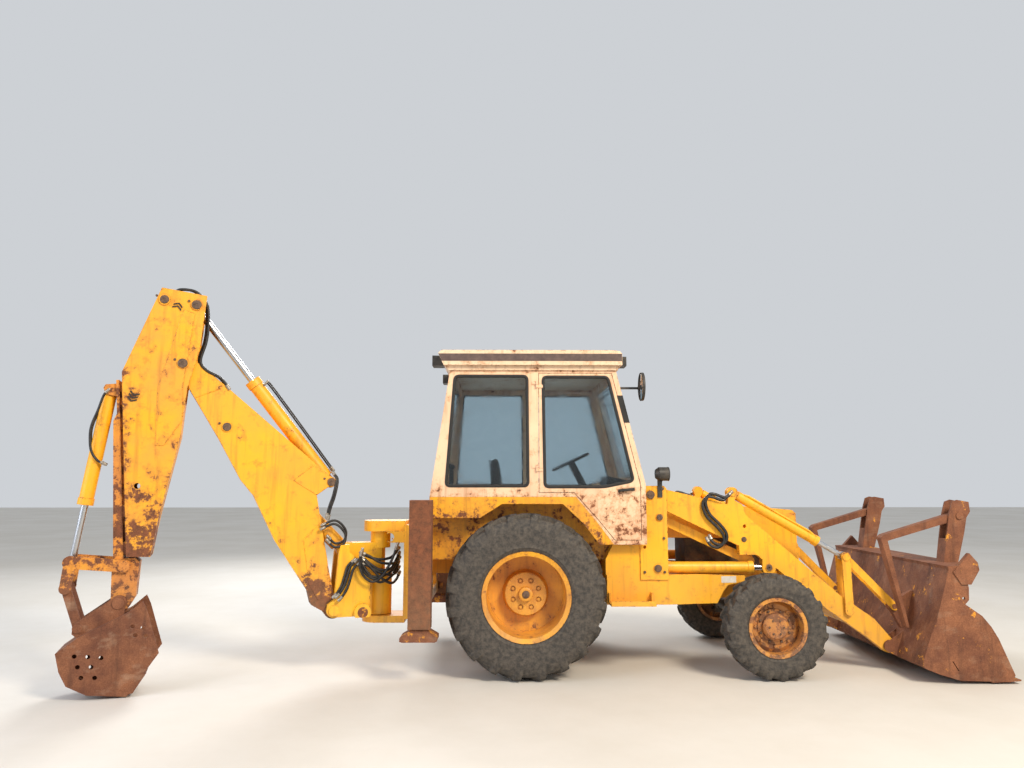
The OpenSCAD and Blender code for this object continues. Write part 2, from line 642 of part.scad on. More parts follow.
// Loader bucket with its side plates, cutting edge, ears and fork brackets.
module loader_bucket() color(rust) place() {
    difference() {
        side(-bucket_w / 2, bucket_w / 2) polygon(concat(bucket_skin, bucket_front));
        side(20 - bucket_w / 2, bucket_w / 2 - 20) polygon([[4200, 42], [3645, 51], [3476, 100], [3364, 142],
            [3352, 158], [3354, 188], [3414, 348], [3481, 494], [3550, 709], [3616, 921], [4000, 921]]);
        // corner bolt hole and slot in the side plates
        pin([3712, 704], 12, -bucket_w, bucket_w);
        side(-bucket_w, bucket_w) polygon([[3577, 187], [3585, 189], [3633, 109], [3625, 107]]);
    }
    // top lip and cutting edge
    side(-bucket_w / 2, bucket_w / 2) polygon([[3601, 941], [3850, 955], [3850, 980], [3592, 970]]);
    side(-bucket_w / 2, bucket_w / 2) polygon([[3900, 14], [4150, 26], [4150, 38], [3900, 46]]);
    both() {
        side(bucket_w / 2 - 34, bucket_w / 2 + 12) polygon([[3700, 819], [3780, 819], [3858, 940], [3848, 1002],
            [3782, 1080], [3632, 923]]);
        // ears and pins for the arms
        for (y = [552, 674]) difference() {
            side(y, y + 20) {
                translate(bucket_pin) circle(52);
                polygon([bucket_pin + [-14, -50], [3352, 130], [3480, 90], [3362, 160], [3362, 200], [3420, 380],
                    [3390, 355], bucket_pin + [10, 51]]);
            }
        }
        pin(bucket_pin, 28, 572, 674);
        // ears and pins for the dump links
        difference() {
            side(594, 650) {
                translate(bucket_eye) circle(45);
                polygon([bucket_eye + [-20, -40], [3415, 355], [3481, 494], [3550, 709], [3500, 700],
                    bucket_eye + [8, 44]]);
            }
            side(0, 700) polygon(concat(bucket_skin, [[4084, 941]]));
        }
        pin(bucket_eye, 22, 574, 594);
        pin(bucket_eye, 22, 650, 672);
        // fork brackets on the top lip: two plates, a closed back and a head
        for (y = [712, 824]) side(y, y + 16) polygon([[3722, 960], [3850, 970], [3926, 1238], [3955, 1370], [3990, 1420],
            [3984, 1507], [3881, 1525], [3833, 1507], [3801, 1405], [3760, 1183]]);
        side(728, 824) polygon([[3722, 960], [3760, 1183], [3774, 1181], [3738, 960]]);
        pin(fork_pin, 20, 728, 824);
        pin(fork_pin, 32, 840, 852);
    }
}

// Two flip-over forks, folded back over the bucket.
module pallet_forks() color(rust) place() both() difference() {
    side(733, 819) union() {
        translate(fork_pin) circle(50);
        polygon([[3880, 1416], [3210, 1216], [3178, 1190], [3186, 1160], [3236, 1160], [3900, 1352]]);
        polygon([[3182, 1190], [3365, 410], [3390, 410], [3236, 1190]]);
    }
    pin(fork_pin, 20 + gap, 700, 900);
}

// Stabiliser leg with its foot, drawn for the left side.
module leg() color(rust) place() {
    block([-985, 1010, 440], [-825, 1130, 1500]);
    block([-989.6, 1005.4, 1440], [-820.4, 1134.6, 1500]);
    side(960, 1190) polygon([[-1060, 372], [-1040, 365], [-770, 365], [-750, 372], [-750, 400], [-820, 440],
        [-990, 440], [-1060, 400]]);
}
module leg_left() leg();
module leg_right() mirrored() leg();

// Moves children, drawn straight behind the kingpost's axis, to the swung backhoe.
module hoe() place() translate([king_x, king_y, 0]) rotate([0, 0, swing]) children();

// Carriage that slides across the machine on the slide frame's rails and holds the kingpost.
module carriage() color(yellow) place() translate([king_x, king_y, 0]) {
    difference() {
        union() {
            block([240, -190, 480], [329.6, 190, 1300]);
            for (z = [[440, 500], [1240, 1335]]) {
                block([0, -150, z[0]], [250, 150, z[1]]);
                translate([0, 0, z[0]]) cylinder(h = z[1] - z[0], r = 150);
            }
            both() side(150, 175) polygon([[85, 1245], [85, 1150], [130, 1143], [245, 1143], [245, 1245]]);
        }
        pin([110, 1190], 38, -300, 300);
    }
    // hooks over the rails
    for (z = [[1280.4, 1300], [480, 499.6]]) block([320, -190, z[0]], [428, 190, z[1]]);
    for (z = [[1230, 1300], [480, 550]]) block([410.4, -190, z[0]], [428, 190, z[1]]);
    translate([0, 0, 495]) cylinder(h = 750, r = 45);
}

// Swinging casting with the clevises for the boom and its ram.
module kingpost() color(yellow) hoe() {
    difference() {
        union() {
            translate([0, 0, 505]) cylinder(h = 395, r = 110);
            translate([0, 0, 1090]) cylinder(h = 145, r = 90);
            side(-75, 75) polygon([[0, 505], [-270, 505], [-300, 900], [-308, 1010], [-380, 1028], [-404, 1070],
                [-396, 1120], [-350, 1142], [-90, 1140], [0, 1140]]);
            for (y = [-170, 115]) side(y, y + 55) {
                polygon([[-120, 510], [-430, 512], [-490, 560], [-486, 620], [-430, 660], [-400, 1050],
                    [-386, 1130], [-306, 1135], [-306, 1070], [-120, 900]]);
                translate(boom_pin) circle(62);
            }
            translate([-185, 0, 547]) rotate([90, 0, 0]) cylinder(h = 420, r = 75, center = true);
            side(-115, 115) polygon([[-100, 510], [-250, 510], [-250, 900], [-100, 900]]);
        }
        block([-300, -250, 440], [160, 250, 505]);
        translate([0, 0, 490]) cylinder(h = 760, r = 45 + gap);
        // room for the boom ram's eye and for the boom's foot
        side(-45, 45) polygon([[-430, 990], [-262, 1010], [-262, 1200], [-430, 1200]]);
        side(-110, 110) translate(boom_pin) circle(150);
    }
    pin(boom_pin, 35, -115, 115);
    pin(boom_ram_pin, 28, -75, 75);
    for (y = [[-190, -170], [170, 190]]) pin(boom_pin, 45, y[0], y[1]);
}

// Side view of the boom, from its foot up the front edge and down the back edge.
boom_front = [[-400, 586], [-497, 1011], [-600, 1573], [-431, 1696], [-456, 1711], [-1410, 2520], [-1624, 2697]];
boom_back = [[-1692, 2478], [-1443, 2066], [-1242, 1701], [-1130, 1565], [-942, 1179], [-644, 727], [-616, 618],
    [-458, 526]];

// Boom: two side plates with top and back plates, open in front for its ram.
module boom() color(yellow) hoe() {
    difference() {
        side(-boom_y, boom_y) {
            polygon(concat(boom_front, [[-1740, 2780]], boom_back));
            translate(boom_pin) circle(80);
            translate(dipper_pin) circle(100);
        }
        // hollow, closed above and behind
        side(20 - boom_y, boom_y - 20) polygon([[-300, 560], [-470, 1100], [-560, 1600], [-700, 1880],
            [-1420, 2480], [-1560, 2540], [-1663, 2456], [-1423, 2056], [-1200, 1710], [-1090, 1570], [-905, 1190],
            [-640, 790], [-540, 680]]);
        side(20 - boom_y, boom_y - 20) polygon([[-300, 700], [-330, 1400], [-560, 1600], [-640, 1100], [-520, 700]]);
        pin(boom_pin, 35 + gap, -200, 200);
        pin(dipper_pin, 38 + gap, -200, 200);
        // slot for the dipper ram's foot
        side(20 - boom_y, boom_y - 20) strap(dipper_ram_pin, dipper_ram_pin + 0.36 * (dipper_ram_eye - dipper_ram_pin), 78);
    }
    // plates on the sides, at the foot and under the ram's pin
    both() difference() {
        side(boom_y, boom_y + 4) {
            polygon([[-455, 700], [-497, 1011], [-560, 1330], [-700, 1180], [-640, 800], [-560, 660]]);
            polygon([[-600, 1573], [-431, 1696], [-640, 1830], [-800, 1700]]);
        }
        pin(dipper_ram_pin, 26, 0, 200);
    }
    // ram pin with the collars that keep the ram's foot in the middle
    pin(dipper_ram_pin, 26, -boom_y, boom_y);
    both() {
        pin(dipper_ram_pin, 34, 40, boom_y);
        pin(dipper_ram_pin, 40, boom_y, boom_y + 10);
        pin(boom_ram_eye, 42, boom_y, boom_y + 12);
    }
}

// Boom ram between the kingpost and the inside of the boom.
module boom_barrel() color(yellow) hoe() aim(boom_ram_pin, boom_ram_eye) barrel(1120, 68, 35, 55, 84, 28, 90);
module boom_rod() color(chrome) hoe() aim(boom_ram_pin, boom_ram_eye)
    rod(290, norm(boom_ram_eye - boom_ram_pin), 35, 44, 80);

// Turns a side view so that X runs down the dipper's back, which is at Z = 0, and Z points into the dipper.
module dipper_back() aim(dipper_top, dipper_low) children();

// Dipper: two side plates with a slotted back plate, and a front plate below the boom. It is open at its foot.
module dipper() color(yellow) hoe() {
    difference() {
        side(-dipper_y, dipper_y) polygon([[-1945, 3327], [-1583, 3283], [-1624, 2806], [-1704, 2475],
            [-1721, 2279], [-1736, 2067], [-1873, 1374], [-1916, 1078], [-2093, 1084], dipper_low, dipper_top]);
        side(25 - dipper_y, dipper_y - 25) polygon([[-1925, 3340], [-1560, 3300], [-1560, 2800], [-1690, 2400],
            [-1740, 2300], [-1760, 2067], [-1895, 1374], [-1935, 1060], [-2070, 1060], [-2085, 1252], [-2188, 2583]]);
        side(25 - dipper_y, dipper_y - 25) translate(dipper_pin) circle(260);
        pin([-2044, 1652], 24, -200, 200);
        dipper_back() block([40, -60.4, -20], [1600, 60.4, 30]);
    }
    // pads that carry the inner dipper's rail
    dipper_back() both() for (x = [1090, 1390]) block([x, 62, -23.6], [x + 100, 98, 10]);
    // doubling plates on the sides
    both() side(dipper_y, dipper_y + 6) polygon([[-1764, 3145], [-1680, 3120], [-1745, 2475], [-1732, 2202],
        [-1864, 1990], [-1924, 1989], [-1931, 2465]]);
    pin(dipper_pin, 38, 25 - dipper_y, dipper_y - 25);
    for (p = [dipper_pin, dipper_ram_eye, [-1919, 3222]]) both() pin(p, 46, dipper_y, dipper_y + 14);
}

// Dipper ram along the boom's top.
module dipper_barrel() color(yellow) hoe() aim(dipper_ram_pin, dipper_ram_eye) barrel(1140, 62, 32, 50, 68, 26, 80);
module dipper_rod() color(chrome) hoe() aim(dipper_ram_pin, dipper_ram_eye)
    rod(860, norm(dipper_ram_eye - dipper_ram_pin), 32, 55, 110);

// Sliding inner dipper: a rail on the dipper's back with its head inside, and the nose that carries the bucket.
module inner_dipper() color(yellow) hoe() {
    difference() {
        union() {
            dipper_back() {
                side(-100, 100) polygon([[60, -24], [1570, -24], [1545, -99], [400, -76], [340, -48], [60, -48]]);
                side(-60, 60) polygon([[70, -30], [1500, -30], [1500, 44], [70, 44]]);
                side(-100, 100) polygon([[70, 24], [1490, 24], [1490, 44], [70, 44]]);
                // lugs for the crowd ram
                both() side(45, 70) polygon([[86, -30], [90, -130], [120, -148], [165, -130], [178, -100], [200, -30]]);
            }
            side(-98, 98) polygon([[-2190, 1060], [-2196, 960], [-2190, 722], [-2170, 672], [-2130, 656], [-2060, 672],
                [-2010, 760], [-1995, 1040], [-2030, 1070], [-2110, 1070]]);
        }
        pin(nose_pin, 30 + gap, -200, 200);
        pin(hoe_pin, 30 + gap, -200, 200);
    }
    pin(crowd_pin, 26, -70, 70);
}

// Crowd ram behind the inner dipper.
module crowd_barrel() color(yellow) hoe() aim(crowd_pin, crowd_eye) barrel(960, 55, 28, 45, 80, 26, 70);
module crowd_rod() color(chrome) hoe() aim(crowd_pin, crowd_eye) rod(560, norm(crowd_eye - crowd_pin), 28, 42, 60);

// Lever that turns on the nose, in two plates.
module bucket_lever() color(yellow) hoe() {
    both() side(108, 130) {
        strap(nose_pin, crowd_eye, 52);
        strap(crowd_eye, lever_end, 44);
    }
    pin(nose_pin, 30, -108, 108);
    for (y = [[130, 142], [-142, -130]]) pin(nose_pin, 44, y[0], y[1]);
    both() pin(crowd_eye, 26, 36, 108);
}

// Links from the lever's end to the bucket.
module bucket_links() color(rust) hoe() both() difference() {
    side(76, 98) strap(lever_end, bucket_top, 36);
    pin(bucket_top, 26 + gap, 0, 200);
}

// Digging bucket: curved skin, side plates with their holes, and ears. The skin is open under the nose.
hoe_skin = [[-1946, 737], [-2049, 649], [-2392, 481], [-2540, 370], [-2507, 232], [-2452, 122], [-2306, 42],
    [-2022, 8], [-1968, 90], [-1808, 323]];
hoe_holes = [[-2407, 342], [-2313, 331], [-2220, 317], [-2380, 260], [-2286, 253], [-2351, 178], [-2256, 170],
    [-2010, 543], [-1935, 527], [-1987, 473], [-1912, 463]];
module hoe_bucket() color(rust) hoe() {
    difference() {
        side(-hoe_w / 2, hoe_w / 2) polygon(concat(hoe_skin, [[-1912, 663]]));
        side(16 - hoe_w / 2, hoe_w / 2 - 16) polygon([[-1808, 806], [-1958, 746], [-2055, 630], [-2399, 463],
            [-2522, 363], [-2490, 241], [-2440, 136], [-2301, 61], [-2031, 29], [-1984, 99], [-1955, 70],
            [-1706, 380]]);
        side(-105, 105) polygon([[-2000, 800], [-2207, 582], [-2190, 540], [-1950, 640]]);
        for (p = hoe_holes) pin(p, 17, -400, 400);
    }
    both() {
        side(105, 130) {
            translate(hoe_pin) circle(60);
            polygon([[-2075, 740], [-2085, 619], [-2405, 462], [-2447, 500], [-2440, 570], [-2180, 752]]);
        }
        pin(hoe_pin, 44, 130, 142);
        pin(bucket_top, 36, 130, 138);
    }
    // teeth
    for (i = [-1.5:1.5]) side(i * (hoe_w - 64) / 3 - 32, i * (hoe_w - 64) / 3 + 32)
        polygon([[-2015, 24], [-1980, 32], [-1892, 174], [-1899, 180], [-1993, 114]]);
    pin(hoe_pin, 30, -105, 105);
    pin(bucket_top, 26, -105, 105);
}

chassis_frame();
loader_towers();
slide_frame();
axles();
engine();
bonnet();
grille();
head_lamps();
cab_frame();
cab_roof();
cab_glass();
fenders();
seat();
controls();
fittings();
door_right();
door_left();
door_glass_right();
door_glass_left();
knuckle_right();
knuckle_left();
rim_rear_right();
rim_rear_left();
rim_front_right();
rim_front_left();
tyre_rear_right();
tyre_rear_left();
tyre_front_right();
tyre_front_left();
loader_arms();
lift_barrels();
lift_rods();
level_links();
knee_levers();
tilt_barrels();
tilt_rods();
dump_levers();
dump_links();
loader_bucket();
pallet_forks();
leg_right();
leg_left();
carriage();
kingpost();
boom();
boom_barrel();
boom_rod();
dipper();
dipper_barrel();
dipper_rod();
inner_dipper();
crowd_barrel();
crowd_rod();
bucket_lever();
bucket_links();
hoe_bucket();
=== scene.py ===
# %% [markdown]
# # An old backhoe loader, dressed for its portrait
#
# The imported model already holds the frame, the arms, the cab and the wheels at their real size. What is
# missing is what the eye reads as age and use: chalky yellow paint with rust under it, lugged tyres grey
# with dust, black hoses, seals round the panes, weld seams and the hardware on the pins. Each cell below
# adds one of these.

# %% Load the frame
import json

import bmesh
import bpy
import numpy as np
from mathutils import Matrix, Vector


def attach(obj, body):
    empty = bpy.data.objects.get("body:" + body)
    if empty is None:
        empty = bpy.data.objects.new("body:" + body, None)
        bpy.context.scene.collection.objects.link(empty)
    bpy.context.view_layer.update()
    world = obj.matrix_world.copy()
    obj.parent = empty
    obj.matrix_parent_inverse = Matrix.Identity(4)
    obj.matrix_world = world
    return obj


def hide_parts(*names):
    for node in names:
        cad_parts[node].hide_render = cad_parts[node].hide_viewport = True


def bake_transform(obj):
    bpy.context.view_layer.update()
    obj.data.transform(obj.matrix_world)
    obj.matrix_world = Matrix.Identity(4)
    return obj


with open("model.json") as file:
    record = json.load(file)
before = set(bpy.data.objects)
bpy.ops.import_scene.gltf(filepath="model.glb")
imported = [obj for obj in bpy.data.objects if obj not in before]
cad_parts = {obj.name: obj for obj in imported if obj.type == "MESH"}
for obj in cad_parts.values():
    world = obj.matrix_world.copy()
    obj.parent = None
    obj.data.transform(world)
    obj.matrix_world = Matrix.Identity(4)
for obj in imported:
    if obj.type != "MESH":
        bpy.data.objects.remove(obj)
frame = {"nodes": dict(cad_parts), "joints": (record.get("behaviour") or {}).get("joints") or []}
scene = bpy.context.scene
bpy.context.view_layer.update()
joints = {joint["name"]: joint for joint in frame["joints"]}

# %% [markdown]
# ## Two places to measure from
#
# Lengths on a machine like this are taken from the rear axle, and lengths on its digging arm from the
# kingpost. Both places come from the joints, so the pieces follow the frame if it changes. Distances are
# typed in millimetres, the maker's unit, and turned into metres here.

# %% Frames of reference
MM = 0.001
SIDES = (("right", -1), ("left", 1))


def pivot(name):
    """The point on a hinge's axis, in metres."""
    return np.array(joints[name]["pos_m"])


axle_left, axle_right = pivot("wheel_rear_left_spin"), pivot("wheel_rear_right_spin")
AXLE = np.array([axle_left[0], (axle_left[1] + axle_right[1]) / 2, 0.0])
KING = pivot("swing") * [1, 1, 0]
across_arm = -np.array(joints["boom"]["axis"])
along_arm = np.array([across_arm[1], -across_arm[0], 0.0])
forward, leftward = np.array([1.0, 0, 0]), np.array([0, 1.0, 0])


def machine(points):
    """Points [forward, left, up] in mm from the rear axle and the ground, in metres in the part's frame."""
    return AXLE + np.asarray(points, float) * MM


def hoe(points):
    """Points [along, left, up] in mm from the kingpost, along the swung digging arm, in metres."""
    points = np.asarray(points, float) * MM
    turned = points[..., :1] * along_arm + points[..., 1:2] * across_arm
    return KING + turned + points[..., 2:] * [0, 0, 1]


wheelbase = (pivot("steer_right") - AXLE)[0] / MM
print("rear axle at", AXLE.round(3), "kingpost at", KING.round(3), "wheelbase", round(wheelbase), "mm")

# %% [markdown]
# ## Camera
#
# The photograph was taken from eye height on the machine's right, level with the rear wheel and pointing a
# little upwards. The camera stands at that place: its distance and lens decide how large the near wheel
# looks beside the far arm, so they come first. The lens is given by how many pixels of the photograph lie
# between its middle and a point at 45 degrees.

# %% Camera
camera_place = machine([-210.7, -7780.2, 1682.7])
YAW, PITCH = 0.0128, 0.127  # radians to the right of square, and upwards
FOCAL_PIXELS, PHOTO_WIDTH = 769, 1024
SENSOR_WIDTH = 36  # mm
FARTHEST = 200  # metres

camera = bpy.data.objects.new("camera", bpy.data.cameras.new("camera"))
camera.data.sensor_width = SENSOR_WIDTH
camera.data.lens = FOCAL_PIXELS / PHOTO_WIDTH * SENSOR_WIDTH
camera.data.clip_end = FARTHEST
camera.location = camera_place
camera.rotation_euler = (np.pi / 2 + PITCH, 0, -YAW)
scene.collection.objects.link(camera)
scene.camera = camera
print("lens", round(camera.data.lens, 2), "mm")

# %% [markdown]
# ## Meshes from arrays
#
# Every new shape is a grid of points worked out at once: a profile carried along a path, a section turned
# about an axis, or an outline given a thickness. A solid is kept as a pair of vertices and faces, so that
# solids can be repeated and joined before they become one Blender mesh.

# %% Solids from rings of points


def grid_faces(rows, columns, wrap_rows=False):
    """Quads of a grid whose columns close on themselves: corner (i, j) is number i * columns + j."""
    i = np.arange(rows if wrap_rows else rows - 1)[:, None]
    j = np.arange(columns)[None, :]
    near, far = i * columns, (i + 1) % rows * columns
    right = (j + 1) % columns
    return np.stack([near + j, near + right, far + right, far + j], -1).reshape(-1, 4).tolist()


def rings(grid, closed=False):
    """A solid from rings of points, shape (rings, points, 3), with a flat face over each open end."""
    rows, columns = grid.shape[:2]
    faces = grid_faces(rows, columns, closed)
    if not closed:
        faces += [list(range(columns))[::-1], list(range((rows - 1) * columns, rows * columns))]
    return grid.reshape(-1, 3), faces


def join(*solids):
    """Several solids as one, with the faces of each renumbered after the ones before it."""
    starts = np.cumsum([0] + [len(points) for points, _ in solids])
    faces = [[k + start for k in face] for (_, group), start in zip(solids, starts) for face in group]
    return np.concatenate([points for points, _ in solids]), faces


# %% Tubes, turned shapes and plates


def smooth(points, steps=6):
    """Catmull-Rom curve through the points: a cubic between each pair, with the slope of its neighbours."""
    p = np.asarray(points, float)
    p = np.concatenate([[2 * p[0] - p[1]], p, [2 * p[-1] - p[-2]]])
    t = np.linspace(0, 1, steps, endpoint=False)[None, :, None]
    a, b, c, d = (p[k:len(p) - 3 + k, None] for k in range(4))
    curve = b + 0.5 * t * (c - a + t * (2 * a - 5 * b + 4 * c - d + t * (3 * (b - c) + d - a)))
    return np.concatenate([curve.reshape(-1, 3), p[-2:-1]])


def tube(path, radius, sides=12):
    """Circle carried along a path: path(u) + r (n cos v + b sin v), where n and b are square to its way."""
    path = np.asarray(path, float)
    ahead = np.gradient(path, axis=0)
    ahead /= np.linalg.norm(ahead, axis=1, keepdims=True)
    flat = np.linalg.svd(path - path.mean(0))[2][2]
    n = np.cross(ahead, flat)
    n /= np.linalg.norm(n, axis=1, keepdims=True)
    b = np.cross(ahead, n)
    v = np.linspace(0, 2 * np.pi, sides, endpoint=False)[None, :, None]
    radius = np.broadcast_to(radius, len(path))[:, None, None]
    return rings(path[:, None] + radius * (n[:, None] * np.cos(v) + b[:, None] * np.sin(v)))


def basis(axis):
    """Three directions at right angles, as rows, the third along axis."""
    axis = np.asarray(axis, float) / np.linalg.norm(axis)
    side = np.cross(axis, [0, 0, 1] if abs(axis[2]) < 0.9 else [1, 0, 0])
    side /= np.linalg.norm(side)
    return np.array([side, np.cross(axis, side), axis])


def lathe(profile, place, axis, sides=24, closed=False):
    """Profile of [radius, height] in mm turned about axis: place + r (side cos v + up sin v) + h axis.

    A closed profile makes a ring that is open in its middle, and any other a solid with flat ends.
    """
    profile = np.asarray(profile, float) * MM
    side, up, along = basis(axis)
    v = np.arange(sides)[None, :, None] * 2 * np.pi / sides
    r, h = profile[:, 0, None, None], profile[:, 1, None, None]
    return rings(np.asarray(place) + r * (side * np.cos(v) + up * np.sin(v)) + h * along, closed)


def plate(outline, low, high, put=machine, chamfer=2.0):
    """Outline of [along, up] in mm with a thickness across the machine and small chamfers on its rims."""
    p = np.asarray(outline, float)
    edge = np.roll(p, -1, 0) - p
    edge /= np.linalg.norm(edge, axis=1, keepdims=True)
    inwards = np.stack([-edge[:, 1], edge[:, 0]], 1)
    turn = np.sign(np.sum(p[:, 0] * np.roll(p[:, 1], -1) - np.roll(p[:, 0], -1) * p[:, 1]))
    miter = inwards + np.roll(inwards, 1, 0)
    miter *= 2 * turn * chamfer / np.maximum((miter ** 2).sum(1, keepdims=True), 0.5)
    steps = [(p + miter, low), (p, low + chamfer), (p, high - chamfer), (p + miter, high)]
    return rings(put(np.stack([np.insert(q, 1, y, axis=1) for q, y in steps])))


# %% One Blender object from a solid


def piece(name, solid, material, body, sharp=35.0):
    """A named object from a solid: faces turned outwards, smooth where they meet at under sharp degrees."""
    name = name.replace(" ", "_")
    mesh = bpy.data.meshes.new(name)
    mesh.from_pydata(solid[0].tolist(), [], solid[1])
    work = bmesh.new()
    work.from_mesh(mesh)
    bmesh.ops.recalc_face_normals(work, faces=work.faces)
    work.to_mesh(mesh)
    work.free()
    mesh.polygons.foreach_set("use_smooth", np.ones(len(mesh.polygons), bool))
    mesh.set_sharp_from_angle(angle=np.radians(sharp))
    mesh.materials.append(material)
    made = bpy.data.objects.new(name, mesh)
    scene.collection.objects.link(made)
    if body:
        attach(made, body)
    return made


# %% [markdown]
# ## Finishes
#
# A finish here is layers, as on the machine: paint over primer over steel, rust breaking through where
# water sits and where edges are knocked, streaks that run down, and pale dust that settles low. Each layer
# is a mask built from noise at a real size, and the same few masks serve every painted part with other
# amounts.

# %% Colours and a node helper


def linear(code):
    """sRGB hex to the linear colour that Blender's sockets want."""
    srgb = np.array([int(code[k:k + 2], 16) for k in (1, 3, 5)]) / 255
    light = np.where(srgb <= 0.04045, srgb / 12.92, ((srgb + 0.055) / 1.055) ** 2.4)
    return (*light.tolist(), 1.0)


def add(tree, kind, links=None, output=0, **settings):
    """Adds a node: settings are its properties, links fill its inputs with values or nodes' outputs."""
    node = tree.nodes.new(kind)
    for key, value in settings.items():
        setattr(node, key, value)
    for key, value in (links or {}).items():
        if isinstance(value, bpy.types.NodeSocket):
            tree.links.new(value, node.inputs[key])
        else:
            node.inputs[key].default_value = value
    return node.outputs[output]


def start(name):
    """A new material with its tree, its shader and its Object coordinates in metres."""
    material = bpy.data.materials.new(name)
    material.use_nodes = True
    tree = material.node_tree
    where = tree.nodes.new("ShaderNodeTexCoord").outputs["Object"]
    return material, tree, tree.nodes["Principled BSDF"], where


# %% Masks and mixes


def noise(tree, where, size_mm, detail=4.0, rough=0.6, stretch=(1, 1, 1)):
    """Noise whose blotches are about size_mm across, longer along an axis whose stretch is below 1."""
    if tuple(stretch) != (1, 1, 1):
        where = add(tree, "ShaderNodeMapping", {"Vector": where, "Scale": stretch})
    return add(tree, "ShaderNodeTexNoise", {
        "Vector": where, "Scale": 1 / (size_mm * MM), "Detail": detail, "Roughness": rough})


def between(tree, value, low, high, out_low=0.0, out_high=1.0):
    """Value from low to high mapped to out_low to out_high, and held there outside."""
    return add(tree, "ShaderNodeMapRange", {
        "Value": value, "From Min": low, "From Max": high, "To Min": out_low, "To Max": out_high})


def sum_of(tree, a, b, operation="ADD"):
    """Two values added, or joined by another operation."""
    return add(tree, "ShaderNodeMath", {0: a, 1: b}, operation=operation)


def mix(tree, share, a, b):
    """Colour a where share is 0 and b where it is 1."""
    return add(tree, "ShaderNodeMix", {0: share, 6: a, 7: b}, output=2, data_type="RGBA")


def dot(tree, a, b):
    """Dot product of two vectors."""
    return add(tree, "ShaderNodeVectorMath", {0: a, 1: b}, output="Value", operation="DOT_PRODUCT")


def relief(tree, shader, height, strength, distance):
    """Tilts the shader's normal as if the surface rose by height times distance, in metres."""
    bump = add(tree, "ShaderNodeBump", {"Height": height, "Strength": strength, "Distance": distance})
    tree.links.new(bump, shader.inputs["Normal"])


def rust_colour(tree, where):
    """Rust from dark brown scale to orange bloom, in blotches of 60 mm with 6 mm grains."""
    bloom = between(tree, noise(tree, where, 60, 8, 0.7), 0.38, 0.62)
    grain = between(tree, noise(tree, where, 6, 2), 0.35, 0.65)
    brown = mix(tree, bloom, linear("#4A2B1E"), linear("#7A452B"))
    return mix(tree, sum_of(tree, grain, 0.45, "MULTIPLY"), brown, linear("#96603C"))


# %% [markdown]
# ## Alkyd machine enamel
#
# Sprayed enamel chalks in the sun, so its gloss drops and its colour pales in patches. Stone chips are
# small and dark, and runs of brown water come down from seams. Rust needs a level: how much of the surface
# has gone, from 0 to 1, raised towards some places, such as the outer end of the digging arm. A threshold
# on noise turns the level into patches with ragged edges, and the bevel node finds the knocked edges.

# %% Worn enamel


def enamel(name, paint, chalked, wear=0.0, chips=0.5, zones=(), edges=0.5, dust=0.5):
    """Paint with rust: wear sets the rusted share, and each zone raises it along an axis.

    A zone is (direction, from, to, amount): the level rises by amount while a point's distance along the
    direction goes from one to the other, in metres. Along DOWN, a height of 1 m is at -1.
    """
    material, tree, shader, where = start(name)
    patches = between(tree, noise(tree, where, 420, 5, 0.62), 0.38, 0.66)
    coat = mix(tree, patches, linear(paint), linear(chalked))
    streaks = noise(tree, where, 45, 4, 0.6, (1, 1, 0.07))
    coat = mix(tree, between(tree, streaks, 0.52, 0.74, 0.0, 0.42), coat, linear("#8A5524"))

    level = add(tree, "ShaderNodeValue")
    level.default_value = wear
    for direction, low, high, amount in zones:
        reach = dot(tree, where, direction)
        level = sum_of(tree, level, between(tree, reach, low, high, 0.0, amount))
    blotch = noise(tree, where, 110, 9, 0.74)
    ragged = sum_of(tree, blotch, level)
    rusted = between(tree, ragged, 0.66, 0.70)
    speck = sum_of(tree, noise(tree, where, 16, 6, 0.75), sum_of(tree, level, 0.25, "MULTIPLY"))
    chipped = between(tree, speck, 0.735 - 0.06 * chips, 0.76 - 0.06 * chips)
    rounded_edge = add(tree, "ShaderNodeBevel", {"Radius": 0.012}, samples=4)
    facing = dot(tree, rounded_edge, add(tree, "ShaderNodeNewGeometry", output="Normal"))
    knock = sum_of(tree, between(tree, facing, 0.995, 0.90), noise(tree, where, 35, 5, 0.7), "MULTIPLY")
    knocked = between(tree, knock, 0.62 - 0.22 * edges, 0.66 - 0.22 * edges)
    bare = sum_of(tree, sum_of(tree, rusted, chipped, "MAXIMUM"), knocked, "MAXIMUM")

    halo = between(tree, ragged, 0.56, 0.68, 0.0, 0.55)
    coat = mix(tree, halo, coat, linear("#B0692A"))
    colour = mix(tree, bare, coat, rust_colour(tree, where))
    above_ground = add(tree, "ShaderNodeSeparateXYZ", {0: where}, output="Z")
    settled = between(tree, above_ground, 1.1, 0.3, 0.0, dust)
    low_dust = sum_of(tree, settled, noise(tree, where, 90, 6), "MULTIPLY")
    colour = mix(tree, low_dust, colour, linear("#9C8466"))
    tree.links.new(colour, shader.inputs["Base Color"])
    gloss = between(tree, patches, 0, 1, 0.36, 0.55)
    rough = add(tree, "ShaderNodeMix", {0: bare, 2: gloss, 3: 0.88}, data_type="FLOAT")
    tree.links.new(rough, shader.inputs["Roughness"])
    pitted = sum_of(tree, bare, noise(tree, where, 4, 3), "MULTIPLY")
    sunk = sum_of(tree, pitted, sum_of(tree, bare, -0.7, "MULTIPLY"))
    dents = sum_of(tree, noise(tree, where, 180, 2), 0.6, "MULTIPLY")
    relief(tree, shader, sum_of(tree, sunk, dents), 0.5, 0.0012)
    return material


# %% [markdown]
# ## Which part has worn where
#
# The chassis and the kingpost keep most of their paint. The digging arm has lost it at its outer end and
# near the ground, the slide frame at the outer faces of its leg tubes, the cab along its sill and its top
# header.

